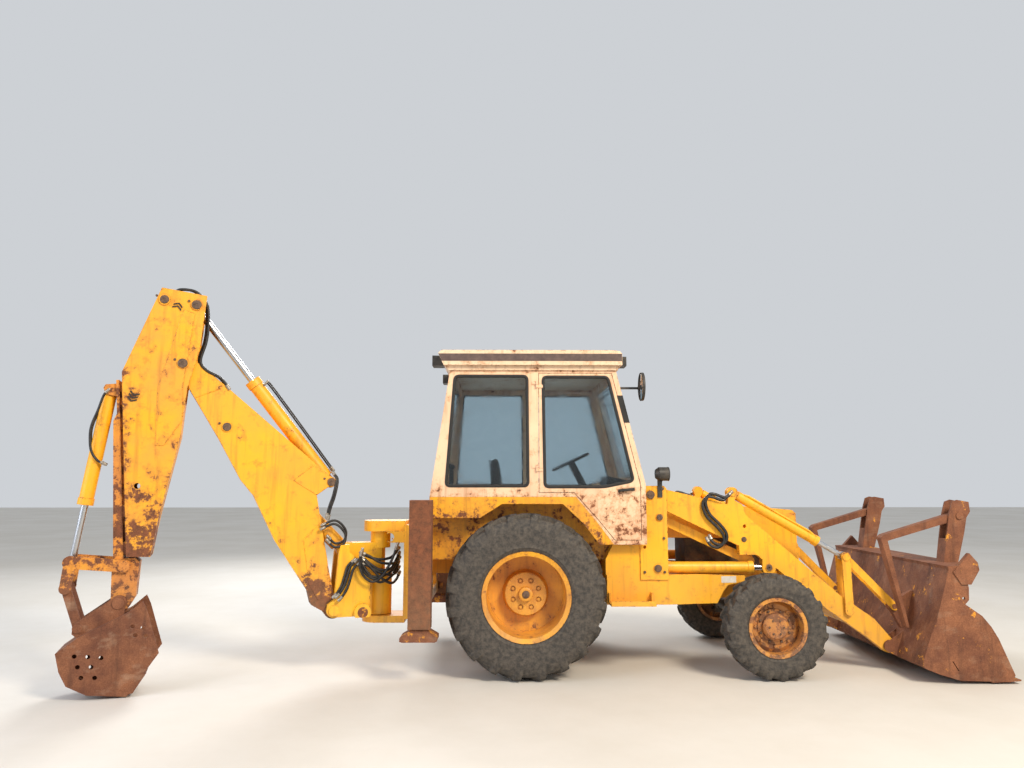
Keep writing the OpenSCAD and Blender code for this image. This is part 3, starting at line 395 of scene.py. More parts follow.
# %% Paint of each part
DOWN, UP = (0.0, 0.0, -1.0), (0.0, 0.0, 1.0)
LEFT, RIGHT = (0.0, 1.0, 0.0), (0.0, -1.0, 0.0)
outwards = tuple((-along_arm).tolist())
kingpost_out = float(-KING @ along_arm)  # where the kingpost is along outwards
paint_chassis = enamel("alkyd enamel, yellow, chassis", "#F6B21C", "#EBA62A", 0.02, 0.35)
paint_loader = enamel("alkyd enamel, yellow, loader", "#FBB419", "#EFA922", 0.03, 0.45)
paint_slide = enamel("alkyd enamel, yellow, slide frame", "#F0A820", "#DE9A2C", 0.05, 0.6,
                     [(LEFT, AXLE[1] + 0.98, AXLE[1] + 0.999, 0.30),
                      (RIGHT, 0.98 - AXLE[1], 0.999 - AXLE[1], 0.30)])
paint_kingpost = enamel("alkyd enamel, yellow, kingpost", "#FCBE14", "#F2B01E", 0.0, 0.2, edges=0.3)
paint_boom = enamel("alkyd enamel, yellow, boom", "#F9B41A", "#EFA528", 0.02, 0.55,
                    [(DOWN, -1.05, -0.60, 0.30)])
paint_dipper = enamel("alkyd enamel, yellow, dipper", "#F6AE1E", "#DF9A35", 0.06, 0.75,
                      [(DOWN, -1.9, -1.15, 0.16), (outwards, kingpost_out + 2.08, kingpost_out + 2.22, 0.12)])
paint_nose = enamel("alkyd enamel, yellow, worn through", "#E89A2E", "#C8803F", 0.17, 0.95)
paint_fenders = enamel("alkyd enamel, yellow, fenders", "#F3AC1C", "#DF9A28", 0.05, 0.6,
                       [(DOWN, -1.56, -1.38, 0.08)])
paint_rear_rims = enamel("alkyd enamel, yellow, rear rims", "#F0AA22", "#C9842E", 0.05, 0.8)
paint_front_rims = enamel("alkyd enamel, yellow, front rims", "#DE9A30", "#AE6A32", 0.17, 0.9)
paint_cream = enamel("alkyd enamel, cream, cab", "#EFCBA6", "#E3B692", 0.02, 0.25,
                     [(DOWN, -1.72, -1.55, 0.10), (UP, 2.655, 2.70, 0.11)], edges=0.35)
paint_roof = enamel("alkyd enamel, cream, roof", "#EBCFAE", "#D9BC9A", 0.04, 0.35)
print("enamels:", sum(material.name.startswith("alkyd") for material in bpy.data.materials))

# %% [markdown]
# ## Rusted plate, iron, rubber, chrome and glass
#
# The buckets, forks and legs have lost their paint: bare plate rusts brown and rubs paler where earth
# slides on it. Castings under the machine are oily and hold dust. Tyre rubber is carbon black gone grey.
# Rods are hard chrome, and the panes are tempered glass with a film of dust.

# %% Rusted plate


def rusted_plate(name, traces=0.0, pale=0.4):
    """Hot-rolled plate, rusted: brown scale, rubbed pale bands, and traces of yellow paint."""
    material, tree, shader, where = start(name)
    scale = noise(tree, where, 200, 8, 0.68)
    colour = mix(tree, between(tree, scale, 0.36, 0.64), linear("#6B3E29"), linear("#96603F"))
    fine = noise(tree, where, 9, 4, 0.7)
    colour = mix(tree, between(tree, fine, 0.35, 0.7, 0.0, 0.55), colour, linear("#4A2C20"))
    rubbed = noise(tree, where, 110, 6, 0.65, (0.5, 1, 1))
    colour = mix(tree, between(tree, rubbed, 0.55, 0.75, 0.0, pale), colour, linear("#A98A70"))
    runs = noise(tree, where, 60, 4, 0.6, (1, 1, 0.09))
    colour = mix(tree, between(tree, runs, 0.52, 0.72, 0.0, 0.5), colour, linear("#3D241A"))
    if traces:
        paint_left = between(tree, noise(tree, where, 130, 9, 0.74), 0.66 - traces, 0.69 - traces)
        colour = mix(tree, paint_left, colour, linear("#D8922C"))
    tree.links.new(colour, shader.inputs["Base Color"])
    tree.links.new(between(tree, fine, 0.3, 0.7, 0.72, 0.92), shader.inputs["Roughness"])
    relief(tree, shader, sum_of(tree, fine, sum_of(tree, scale, 2.0, "MULTIPLY")), 0.55, 0.0022)
    return material


plate_bucket = rusted_plate("rusted plate, loader bucket", traces=0.05)
plate_forks = rusted_plate("rusted plate, forks", pale=0.15)
plate_leg = rusted_plate("rusted plate, stabiliser leg", traces=0.10)
plate_hoe = rusted_plate("rusted plate, digging bucket", pale=0.6)

# %% Surfaces under dust


def dusty(name, clean, dust, roughness, amount=0.5, size_mm=70.0, grain_mm=3.0, depth=0.0006, metallic=0.0):
    """A surface under dust: clean colour and dust mixed by noise, with a fine grain in its bump."""
    material, tree, shader, where = start(name)
    film = between(tree, noise(tree, where, size_mm, 7, 0.66), 0.38, 0.66, 0.0, amount)
    tree.links.new(mix(tree, film, linear(clean), linear(dust)), shader.inputs["Base Color"])
    tree.links.new(between(tree, film, 0, 1, roughness, 0.95), shader.inputs["Roughness"])
    shader.inputs["Metallic"].default_value = metallic
    relief(tree, shader, noise(tree, where, grain_mm, 3), 0.4, depth)
    return material


# Castings and dark enamel: dull, with brown dust in their grain
iron = dusty("cast iron, oily and dusty", "#2A2622", "#8C7A63", 0.5, 0.7, 120)
black_enamel = dusty("enamel, black, dusty", "#141414", "#6F665A", 0.42, 0.35, 90)
stripe_black = dusty("enamel, black stripe", "#1A1512", "#5E4A36", 0.6, 0.5, 20)
drip_strip = dusty("drip strip, weathered", "#4E3F3B", "#77655D", 0.7, 0.5, 60)
# Rubber and plastic: no metal in them, and all of them smoother than the tyres
tyre_rubber = dusty("tyre rubber, dusty", "#33302D", "#6E655A", 0.72, 0.55, 30, 5, 0.001)
hose_rubber = dusty("hose rubber", "#0E0E10", "#4A453F", 0.38, 0.45, 40)
seal_rubber = dusty("seal rubber", "#111111", "#3B3733", 0.6, 0.4, 50)
moulded = dusty("polypropylene, moulded black", "#17181A", "#4E4A45", 0.55, 0.4, 60)
vinyl = dusty("vinyl upholstery, black", "#1A1A1C", "#55504A", 0.45, 0.35, 80, 2)
white_plastic = dusty("printed plate, blank white", "#D8D4CA", "#9A9184", 0.5, 0.4, 40)
# Metals: chrome and silvered glass mirror what is round them, zinc plate blurs it, old steel is dull
hard_chrome = dusty("hard chrome rod", "#C9CBCE", "#8E877C", 0.2, 0.25, 80, 6, 0.00002, 1.0)
silvered = dusty("silvered glass", "#C9D0D4", "#9C978E", 0.06, 0.25, 60, 2, 0.0001, 1.0)
plated = dusty("zinc-plated fittings", "#A9A49A", "#7B6A55", 0.35, 0.5, 25, 2, 0.0002, 0.8)
bare_steel = dusty("steel hardware, oxidised", "#4B3A30", "#8A6B50", 0.55, 0.6, 25)

# %% Glass


def dusty_glass(name):
    """Clear glass, faintly blue: it lets light through, and a film of dust roughens it in patches."""
    material, tree, shader, where = start(name)
    shader.inputs["Base Color"].default_value = linear("#C9D8DE")
    shader.inputs["Transmission Weight"].default_value = 1.0
    shader.inputs["IOR"].default_value = 1.45
    film = noise(tree, where, 160, 6, 0.6)
    tree.links.new(between(tree, film, 0.4, 0.75, 0.03, 0.22), shader.inputs["Roughness"])
    return material


glass = dusty_glass("tempered glass, dusty")
lens_glass = dusty_glass("pressed lens glass")

# %% Dress the nodes
FINISH = {
    "chassis_frame loader_towers bonnet carriage": paint_chassis,
    "slide_frame": paint_slide,
    "fenders": paint_fenders,
    "cab_frame door_right door_left": paint_cream,
    "cab_roof": paint_roof,
    "loader_arms lift_barrels level_links knee_levers tilt_barrels dump_levers dump_links": paint_loader,
    "rim_rear_right rim_rear_left": paint_rear_rims,
    "rim_front_right rim_front_left": paint_front_rims,
    "kingpost": paint_kingpost,
    "boom boom_barrel dipper_barrel crowd_barrel": paint_boom,
    "dipper": paint_dipper,
    "inner_dipper bucket_lever": paint_nose,
    "lift_rods tilt_rods boom_rod dipper_rod crowd_rod": hard_chrome,
    "loader_bucket": plate_bucket,
    "pallet_forks": plate_forks,
    "leg_right leg_left": plate_leg,
    "hoe_bucket bucket_links": plate_hoe,
    "axles engine knuckle_right knuckle_left": iron,
    "grille head_lamps fittings": black_enamel,
    "seat": vinyl,
    "controls": moulded,
    "tyre_rear_right tyre_rear_left tyre_front_right tyre_front_left": tyre_rubber,
    "cab_glass door_glass_right door_glass_left": glass,
}
for names, finish in FINISH.items():
    for name in names.split():
        frame["nodes"][name].data.materials.clear()
        frame["nodes"][name].data.materials.append(finish)
print("finished nodes:", sum(len(names.split()) for names in FINISH), "of", len(frame["nodes"]))

# %% [markdown]
# ## Tyres
#
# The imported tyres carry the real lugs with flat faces. These have the same section, lugs and places with
# rounded walls: a grid of angle and section rows in which a mask lifts each lug from the carcass. The lugs
# of the two sides are half a pitch apart and trail towards the shoulders, as on a driven wheel's tread.

# %% Lugged tyres
LUG_WALL = 0.8  # degrees over which a lug rises from the carcass


def tyre(name, place, lugs, section, half_lug, columns, body):
    """Carcass plus mask times lug, turned about the wheel's axis, with half_lug in degrees.

    Rows of section: [y, r] of the carcass, [y, r] of the lug's top, and the lug's trail in degrees. With d
    the angle to the nearest lug's middle line, mask = 3 m^2 - 2 m^3, where m, held between 0 and 1, is
    1 + (half_lug - |d|) / LUG_WALL.
    """
    half = np.asarray(section, float)
    rows = np.concatenate([half * [-1, 1, -1, 1, 1], half[-2::-1]])
    pitch = 360 / lugs
    shift = np.where(rows[:, 0] > 0, pitch / 2, 0) + rows[:, 4]
    angle = np.arange(lugs * columns) * pitch / columns
    offset = (angle[None] - shift[:, None] + pitch / 2) % pitch - pitch / 2
    m = np.clip(1 + (half_lug - np.abs(offset)) / LUG_WALL, 0, 1)
    mask = m * m * (3 - 2 * m)
    y = rows[:, 0, None] + mask * (rows[:, 2] - rows[:, 0])[:, None]
    r = rows[:, 1, None] + mask * (rows[:, 3] - rows[:, 1])[:, None]
    turn = np.radians(angle)
    grid = np.stack([r * np.cos(turn), y, -r * np.sin(turn)], -1) * MM + place
    made = piece(name, rings(grid, closed=True), tyre_rubber, body, 42)
    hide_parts(body.replace("wheel", "tyre"))
    print(name, len(made.data.polygons), "quads")


def wall(trail, *points):
    """Section rows where no lug rises: the lug's top is the carcass, at [y, r]."""
    return [[y, r, y, r, trail] for y, r in points]


def crown(low, high, shoulder, steps):
    """Section rows across the tread, from shoulder to middle, low and high being [y, r] at each end."""
    s = np.linspace(0, 1, steps)[:, None]
    a, b = (np.array([[*low[k], *high[k], shoulder * (1 - k)]]) for k in (0, 1))
    return (a + (b - a) * s).tolist()


REAR_SECTION = [
    *wall(-13, [175.4, 357.5], [191.4, 385.6], [199, 397], [203, 412], [209, 418], [207, 428], [209.5, 455],
          [213, 500], [214.5, 545], [214, 572]),
    [213, 584, 213.3, 588, -13], [208, 605, 211, 614, -12.6],
    [200, 630, 206, 650, -12.1], [190, 650, 196, 681, -11.6],
    *crown(([179, 663], [24, 669]), ([181, 694], [24, 705]), -11, 13),
    [16, 669, 14, 682, 0.5], [8, 669, 8, 670, 1], [0, 670, 0, 670, 1]]
FRONT_SECTION = [
    *wall(-12, [109.4, 234.5], [115.4, 253.6], [123, 262], [126, 272], [130, 277], [129, 285], [133, 310],
          [136.5, 338], [136.4, 352]),
    [135.5, 361, 135.8, 364, -12], [132, 378, 134, 384, -11.4],
    [126, 397, 130, 409, -10.8], [119, 409, 123, 427, -10.4],
    *crown(([112, 417], [18, 422]), ([114, 437], [18, 445]), -10, 11),
    [12, 422, 10, 430, 0.5], [6, 422, 6, 423, 1], [0, 423, 0, 423, 1]]
REAR_OUT, REAR_UP = 835, 705  # a wheel's middle, from the machine's middle and the ground
FRONT_OUT, FRONT_UP = 912.5, 445
for side, sign in SIDES:
    rear, front = machine([0, sign * REAR_OUT, REAR_UP]), machine([wheelbase, sign * FRONT_OUT, FRONT_UP])
    tyre(f"tyre rear {side}", rear, 20, REAR_SECTION, 2.5, 32, f"wheel_rear_{side}")
    tyre(f"tyre front {side}", front, 19, FRONT_SECTION, 3.0, 28, f"wheel_front_{side}")

# %% [markdown]
# ## Seals round the glass
#
# Each pane sits in a black rubber moulding, a rounded rectangle of a few millimetres that stands proud of
# the cab's skin. Its section is carried round the pane's outline, whose corners are arcs.

# %% Mouldings


def rounded(outline, radius, steps=6):
    """Outline whose corners are quadratic arcs that start radius before a corner and end radius after it."""
    p = np.asarray(outline, float)
    back = np.roll(p, 1, 0) - p
    ahead = np.roll(p, -1, 0) - p
    a = p + back / np.linalg.norm(back, axis=1, keepdims=True) * radius
    b = p + ahead / np.linalg.norm(ahead, axis=1, keepdims=True) * radius
    t = np.linspace(0, 1, steps)[None, :, None]
    return ((1 - t) ** 2 * a[:, None] + 2 * t * (1 - t) * p[:, None] + t ** 2 * b[:, None]).reshape(-1, 2)


def moulding(outline, section, put, radius=40.0):
    """Section of [outwards, across] in mm carried round an outline of [along, up]: p + n outwards."""
    p = rounded(outline, radius)
    ahead = np.roll(p, -1, 0) - np.roll(p, 1, 0)
    ahead /= np.linalg.norm(ahead, axis=1, keepdims=True)
    turn = np.sign(np.sum(p[:, 0] * np.roll(p[:, 1], -1) - np.roll(p[:, 0], -1) * p[:, 1]))
    n = np.stack([ahead[:, 1], -ahead[:, 0]], 1) * turn
    section = np.asarray(section, float)
    flat = p[:, None] + n[:, None] * section[None, :, :1]
    across = np.broadcast_to(section[None, :, 1:], (*flat.shape[:2], 1))
    return rings(put(np.concatenate([flat[..., :1], across, flat[..., 1:]], -1)), closed=True)


# %% Window mouldings
CAB_SIDE = 800
# Section of a seal: outwards from the pane's outline, and out of the skin
LIP = np.array([[-14, -3], [-12, 3], [-4, 7], [6, 7], [13, 4], [15, -3]])
DOOR_WINDOW = [[176, 1642], [163, 2640], [757, 2640], [975, 1695], [712, 1642]]
QUARTER_WINDOW = [[-715, 1650], [-643, 2647], [16, 2647], [23, 1650]]
for side, sign in SIDES:
    lip = LIP * [1, sign] + [0, sign * CAB_SIDE]
    for name, outline, body in (("door seal", DOOR_WINDOW, f"door_{side}"),
                                ("quarter seal", QUARTER_WINDOW, "chassis")):
        piece(f"{name} {side}", moulding(outline, lip, machine), seal_rubber, body)

SCREEN_FOOT, SCREEN_HEAD = np.array([1086, 1660]), np.array([832, 2700])
WINDSCREEN = [[-690, 60], [690, 60], [690, 935], [-690, 935]]
rake = (SCREEN_HEAD - SCREEN_FOOT) / np.linalg.norm(SCREEN_HEAD - SCREEN_FOOT)


def screen(points):
    """Points [left, across, up along the pane] of the raked windscreen, in metres in the part's frame."""
    points = np.asarray(points, float)
    ahead = np.array([rake[1], -rake[0]])
    flat = SCREEN_FOOT + points[..., 2:] * rake + points[..., 1:2] * ahead
    return machine(np.stack([flat[..., 0], points[..., 0], flat[..., 1]], -1))


piece("windscreen seal", moulding(WINDSCREEN, LIP, screen, 60), seal_rubber, "chassis")
print("windscreen leans back by", round(float(np.degrees(np.arctan2(-rake[0], rake[1])))), "degrees")

# %% [markdown]
# ## Seat
#
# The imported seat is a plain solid. Here it is a pedestal with a crowned cushion and a tall back pad in
# black vinyl. Each pad is a superellipsoid, fuller in the middle, with three sewn channels and a piped seam
# round its edge.

# %% Sewn pads
ROUND, FULL = 0.42, 0.5  # powers of a pad's outline and of its height: 1 is an ellipse, 0 a box
CROWN = 0.10  # extra height in the middle, as a share
CHANNEL_HALF, CHANNEL_DEPTH = 0.035, 0.007  # share of half a pad, and metres
PIPING_RADIUS = 0.005  # metres


def pad(place, along, up, size, channels=3):
    """Superellipsoid sign(c)|c|^power in three directions; its top sinks in narrow channels across it.

    Returns the grid of its surface and the loop of points round its edge, where the piping goes.
    """
    along, up = (np.asarray(v, float) / np.linalg.norm(v) for v in (along, up))
    left = np.cross(up, along)
    u = np.linspace(0, 2 * np.pi, 72, endpoint=False)[None]
    v = np.linspace(-np.pi / 2, np.pi / 2, 37)[1:-1, None]

    def curve(c, power):
        return np.sign(c) * np.abs(c) ** power

    x = curve(np.cos(v), FULL) * curve(np.cos(u), ROUND)
    y = curve(np.cos(v), FULL) * curve(np.sin(u), ROUND)
    z = curve(np.sin(v), FULL) * np.ones_like(u)
    crown_height = 1 + CROWN * (1 - x ** 2) * (1 - y ** 2)
    lines = np.linspace(-0.5, 0.5, channels)[:, None, None]
    on_top = (np.abs(y) < 0.86) * (z > 0.2)
    sewn = np.exp(-((x[None] - lines) / CHANNEL_HALF) ** 2).sum(0) * on_top
    half = np.asarray(size) * MM / 2
    grid = (np.asarray(place) + along * (x * half[0])[..., None] + left * (y * half[1])[..., None]
            + up * ((z * crown_height) * half[2] - CHANNEL_DEPTH * sewn)[..., None])
    middle = len(v) // 2
    return grid, grid[middle:middle + 2].mean(0)


# %% Seat
# Middle, direction along the pad, direction out of it, and [along, across, thick] in mm
PADS = {
    "seat cushion": ([-50, 0, 1285], [1, 0, 0.02], [0, 0, 1], (480, 470, 112)),
    "seat back": ([-258, 0, 1640], [-60, 0, 560], [560, 0, 60], (545, 470, 92)),
}
PEDESTAL = [[-230, 1005], [80, 1005], [60, 1060], [20, 1225], [-180, 1225], [-210, 1060]]
SHELL = [[-262, 1345], [-330, 1900], [-338, 1900], [-292, 1330], [-180, 1228], [-172, 1236]]
for name, (middle, along, up, size) in PADS.items():
    grid, seam = pad(machine(middle), along, up, size)
    made = piece(name, rings(grid), vinyl, "chassis", 60)
    if name == "seat cushion":
        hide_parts("seat")
    loop = np.concatenate([seam, seam[:1]])
    piece(f"{name} piping", tube(loop, PIPING_RADIUS, 8), vinyl, "chassis")
    print(name, "seam", round(float(np.linalg.norm(np.diff(loop, axis=0), axis=1).sum()), 2), "m")
piece("seat pedestal", plate(PEDESTAL, -150, 150, chamfer=12), moulded, "chassis")
piece("seat shell", plate(SHELL, -205, 205, chamfer=3), moulded, "chassis")

# %% [markdown]
# ## Hoses
#
# Braided hydraulic hose, 20 to 28 mm across, hangs in loops at every joint so that the arm can move. Each
# hose is a circle carried along a smooth curve through points read off the machine, with a swaged steel
# ferrule and a hexagon nut at both ends. A hose that crosses a pivot has one ferrule on each body, and its
# tube on neither.

# %% A hose with its ferrules
FERRULE_START = 0.2  # share of the first step along a hose at which its ferrule sits


def hose(name, points, put, body, far_body=None, radius=11.0):
    """Tube of one radius in mm along a smooth path, with a ferrule at both ends; far_body holds its end."""
    path = smooth(put(points), 8)
    skin = tube(path, radius * MM, 12)
    made = piece(name, skin, hose_rubber, None if far_body else body, 60)
    if far_body:
        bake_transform(made)
    ferrule = [[0, -4], [radius + 1, -4], [radius + 3, 0], [radius + 3, 26], [radius + 2, 30],
               [radius + 4, 31], [radius + 4, 45], [radius, 47], [0, 47]]
    ends = ((path[0], path[1], body), (path[-1], path[-2], far_body or body))
    for k, (end, inner, holder) in enumerate(ends):
        solid = lathe(ferrule, end + (inner - end) * FERRULE_START, inner - end, 12)
        piece(f"{name} ferrule {k}", solid, plated, holder, 30)


def arm_hose(name, points, across, body, far_body=None, radius=11.0):
    """A hose on the digging arm from [outwards, up] points, at one distance to the arm's left or a list."""
    points = np.asarray(points, float)
    level = np.broadcast_to(across, len(points))
    hose(name, np.stack([-points[:, 0], level, points[:, 1]], 1), hoe, body, far_body, radius)


# %% [markdown]
# ## Hoses of the digging arm
#
# Oil goes to a ram and comes back, so the arm's hoses run in pairs side by side, and a thinner pair lies
# along the dipper's ram. Each row below is one pair: the second hose is the first one moved by a step.

# %% Pairs along the arm
# Route [outwards, up], step to the second hose, distance to the arm's left, step of that, the body that holds
# the start, the body that holds the end or None for the same one, radius
ARM_PAIRS = {
    "crowd hose": (
        [[2300, 2452], [2340, 2398], [2376, 2272], [2413, 2156], [2422, 2066], [2407, 1943], [2359, 1863],
         [2290, 1826]], [0, 0], -70, 52, "crowd_barrel", None, 10),
    "boom top hose": (
        [[1848, 3284], [1790, 3330], [1672, 3318], [1582, 3212], [1565, 3034], [1575, 2885], [1612, 2720],
         [1560, 2640], [1441, 2575], [1364, 2480]], [14, 8], -108, 30, "dipper", "boom", 12),
    "ram pipe": (
        [[1085, 2535], [1062, 2556], [1015, 2516], [763, 2186], [520, 1862], [455, 1775]],
        [-9, 9], -34, -26, "dipper_barrel", None, 7),
    "drop hose": (
        [[450, 1765], [420, 1700], [445, 1560], [480, 1450], [500, 1350]],
        [12, 14], [-60, -105, -128, -132, -128], 0, "dipper_barrel", "boom", 11),
    "swing hose": (
        [[-120, 1150], [-70, 1010], [10, 880], [100, 835], [185, 900], [212, 1010], [200, 1105]],
        [16, -22], -215, -30, "carriage", "kingpost", 11),
    "boom foot hose": (
        [[560, 1300], [433, 1345], [342, 1262], [350, 1170], [430, 1146], [505, 1215]],
        [8, -30], -125, -26, "boom", "kingpost", 11),
}
for k in (0, 1):
    for name, (route, step, across, across_step, body, far_body, radius) in ARM_PAIRS.items():
        run, level = np.array(route) + np.array(step) * k, np.array(across) + across_step * k
        arm_hose(f"{name} {k}", run, level, body, far_body, radius)
print("pairs on the arm:", len(ARM_PAIRS))

# %% [markdown]
# ## The bundle behind the cab
#
# The valve block's hoses leave in one sagging bundle and go round the kingpost's right side, and each hangs
# lower or higher by its own row of slack. They need it, because the kingpost turns. Three more hoses come
# down outside the kingpost's right cheek.

# %% Bundle from the carriage to the kingpost
KINGPOST_ROUTE = np.array([[255, 1010], [318, 955], [345, 870], [374, 780], [410, 720], [448, 682]])
for k in range(3):
    arm_hose(f"kingpost hose {k}", KINGPOST_ROUTE + [-24 * k, -12 * k * (k - 1)], -186 - 9 * k, "kingpost")

BUNDLE_ROUTE = np.array([[-158, 1090], [-112, 1050], [-50, 1010], [50, 1000], [150, 1028], [222, 1070]])
BUNDLE_ACROSS = np.array([-84, -150, -196, -212, -206, -188])
SLACK = [[0, 0, 0, 0, 0, 0], [-40, -62, -96, -88, -50, -26], [-84, -76, -50, -24, 6, -4],
         [-122, -150, -176, -196, -140, -62], [-168, -176, -150, -110, -82, -92],
         [-214, -236, -220, -150, -74, -44], [-60, -104, -130, -150, -160, -128]]
for k, slack in enumerate(SLACK):
    layer = k % 3
    run = BUNDLE_ROUTE + np.stack([np.full(len(slack), -3 * layer), slack], 1)
    arm_hose(f"valve hose {k}", run, BUNDLE_ACROSS - 6 * layer, "carriage", "kingpost", 12)
print("hoses in the bundle:", len(SLACK))

# %% [markdown]
# ## Hoses and pipes of the loader
#
# On each loader arm a pair of hoses makes an S from the tilt ram's tail down the arm, and a painted steel
# pipe lies on the ram's barrel. The pipe is placed by distances along the ram, so it stays straight on it.

# %% Loader hoses and pipes
LOADER_ROUTE = np.array([
    [1905, 668, 1600], [1838, 684, 1545], [1740, 690, 1572], [1688, 690, 1570], [1650, 690, 1500],
    [1685, 692, 1393], [1778, 694, 1298], [1830, 694, 1222], [1828, 690, 1156], [1775, 680, 1118],
    [1715, 660, 1140], [1690, 630, 1205]])
TILT_PIN, TILT_EYE = np.array([1909, 1589.0]), np.array([2913, 1010.0])
TILT_ACROSS, PIPE_RADIUS = 652, 0.009
PIPE = ((110, 34), (150, 44), (780, 44), (820, 36))  # mm along the ram from its pin, and above its axis
ram_way = (TILT_EYE - TILT_PIN) / np.linalg.norm(TILT_EYE - TILT_PIN)
ram_up = np.array([-ram_way[1], ram_way[0]])
pipe = np.array([TILT_PIN + ram_way * along + ram_up * above for along, above in PIPE])
for side, sign in SIDES:
    for k in (0, 1):
        route = LOADER_ROUTE * [1, sign, 1] + [-26 * k, 0, -24 * k]
        hose(f"loader hose {side} {k}", route, machine, "loader_arms", None, 14)
    steel = tube(machine(np.insert(pipe, 1, sign * TILT_ACROSS, axis=1)), PIPE_RADIUS, 12)
    piece(f"tilt ram pipe {side}", steel, paint_loader, "tilt_barrels", 60)
print("tilt ram between pins:", round(float(np.linalg.norm(TILT_EYE - TILT_PIN))), "mm")

# %% [markdown]
# ## Pins, nuts and weld seams
#
# Pivots are held by turned pins with a keeper plate or a ring of bolts, and doubling plates by a rippled
# bead of weld. Each is one small solid, repeated over a short list of places and joined to one mesh per
# body.

# %% Small hardware
HEX_HEAD = np.array([[0, 12], [6.5, 12], [9, 10.5], [10, 9], [10, 0], [0, 0]])
NIPPLE = [[0, 20], [2.5, 20], [4, 15], [3, 12], [5, 9], [0, 9]]
RIPPLE, WELD_STEP = 7, 2.4  # mm from one ripple of a weld to the next, and between its rings of points


def bolt(place, axis, size=1.0):
    """Hexagon head with its corners turned down: a lathe of six sides along axis."""
    return lathe(HEX_HEAD * size, place, axis, 6)


def pin_end(place, axis, radius):
    """Pin end with a centre dimple and a grease nipple halfway out, proud of its boss by 9 mm."""
    head = [[0, 6], [radius * 0.22, 6], [radius * 0.30, 9], [radius - 4, 9], [radius, 5], [radius, 0], [0, 0]]
    beside = np.asarray(place) + basis(axis)[0] * radius * MM * 0.5
    return join(lathe(head, place, axis, 32), lathe(NIPPLE, beside, axis, 10))


def ring_of_bolts(place, axis, radius, count, size=1.0, spin=0.0):
    """Bolts at equal angles on a circle about axis, the first one spin pitches on."""
    side, up = basis(axis)[:2]
    turn = (np.arange(count) + spin) * 2 * np.pi / count
    spots = np.asarray(place) + radius * MM * (np.cos(turn)[:, None] * side + np.sin(turn)[:, None] * up)
    return join(*(bolt(spot, axis, size) for spot in spots))


def weld(points, put, radius=5.0):
    """Bead along straight legs: radius r (1 + 0.12 sin(2 pi s / RIPPLE)) at distance s from its start."""
    points = np.asarray(points, float)
    legs = np.linalg.norm(np.diff(points, axis=0), axis=1)
    s = np.concatenate([[0], np.cumsum(legs)])
    steps = np.arange(0, s[-1], WELD_STEP)
    path = np.stack([np.interp(steps, s, points[:, k]) for k in range(3)], 1)
    return tube(put(path), radius * MM * (1 + 0.12 * np.sin(2 * np.pi * steps / RIPPLE)), 7)


# %% Pins of the arms and the towers
# Each body's pins: place (x, z) in the side view, distance from the middle, radius
HOE_PINS = {
    "dipper": [((-1751, 2683), 164, 40), ((-1665, 3196), 164, 40), ((-1919, 3222), 164, 36)],
    "boom": [((-475, 1684), 115, 36), ((-1374, 2156), 117, 36)],
}
MACHINE_PINS = {
    "chassis": [((1140, 1570), 727, 38), ((1219, 1367), 727, 28), ((1195, 914), 727, 33)],
    "loader_arms": [((1909, 1589), 665, 26), ((2218, 913), 665, 30), ((1998, 1165), 665, 24)],
}
TOWER_OUT = 715  # from the middle
TOWER_BOLTS = [(x, z) for z in (1625, 1180, 880) for x in (1075, 1255)]
for body, places in HOE_PINS.items():
    solids = []
    for (x, z), out, radius in places:
        for sign in (-1, 1):
            solids.append(pin_end(hoe([x, sign * out, z]), across_arm * sign, radius))
            solids.append(bolt(hoe([x - 62, sign * (out - 12), z + 30]), across_arm * sign, 1.1))
    piece(f"{body} pin ends", join(*solids), bare_steel, body, 30)

for body, places in MACHINE_PINS.items():
    solids = [pin_end(machine([x, sign * out, z]), leftward * sign, radius)
              for (x, z), out, radius in places for sign in (-1, 1)]
    if body == "chassis":
        solids += [bolt(machine([x, sign * TOWER_OUT, z]), leftward * sign, 1.3)
                   for x, z in TOWER_BOLTS for sign in (-1, 1)]
    piece(f"{body} pin ends", join(*solids), bare_steel, body, 30)
print("pin ends:", 2 * sum(len(places) for pins in (HOE_PINS, MACHINE_PINS) for places in pins.values()))

# %% Wheel nuts
FRONT_FACE, REAR_FACE = 86, 27  # the hub's outer face, from the wheel's middle
# Rings of nuts on a front wheel: metres behind that face, circle's radius, how many, size, pitches turned
FRONT_NUTS = ((0.003, 62, 6, 0.9, 0.0), (0.056, 135, 8, 1.2, 0.5))
HUB_CAP = [[0, 14], [22, 14], [30, 10], [34, 0], [0, 0]]
for side, sign in SIDES:
    axis = leftward * sign
    hub = machine([wheelbase, sign * (FRONT_OUT + FRONT_FACE), FRONT_UP])
    nuts = join(*(ring_of_bolts(hub - axis * behind, axis, circle, count, size, spin)
                  for behind, circle, count, size, spin in FRONT_NUTS))
    piece(f"front hub bolts {side}", nuts, bare_steel, f"wheel_front_{side}", 30)
    centre = machine([0, sign * (REAR_OUT + REAR_FACE), REAR_UP])
    cap = join(lathe(HUB_CAP, centre, axis, 32), ring_of_bolts(centre, axis, 24, 4, 0.6))
    piece(f"rear hub cap {side}", cap, bare_steel, f"wheel_rear_{side}", 30)

# %% Weld seams and the swing rams' cap
DOUBLER = [[-1764, 3145], [-1680, 3120], [-1745, 2475], [-1732, 2202], [-1864, 1990], [-1924, 1989],
           [-1931, 2465], [-1764, 3145]]
FOOT_PLATE = [[-600, 1573], [-431, 1696], [-640, 1830], [-800, 1700], [-600, 1573]]
FOOT_DOUBLER = [[-455, 700], [-497, 1011], [-560, 1330], [-700, 1180], [-640, 800], [-560, 660]]
TOP_SEAM = [[-1633, 2403], [-1438, 2489]]
SWING_CAP = [[0, 1.5], [44, 1.5], [46, 0], [0, 0]]


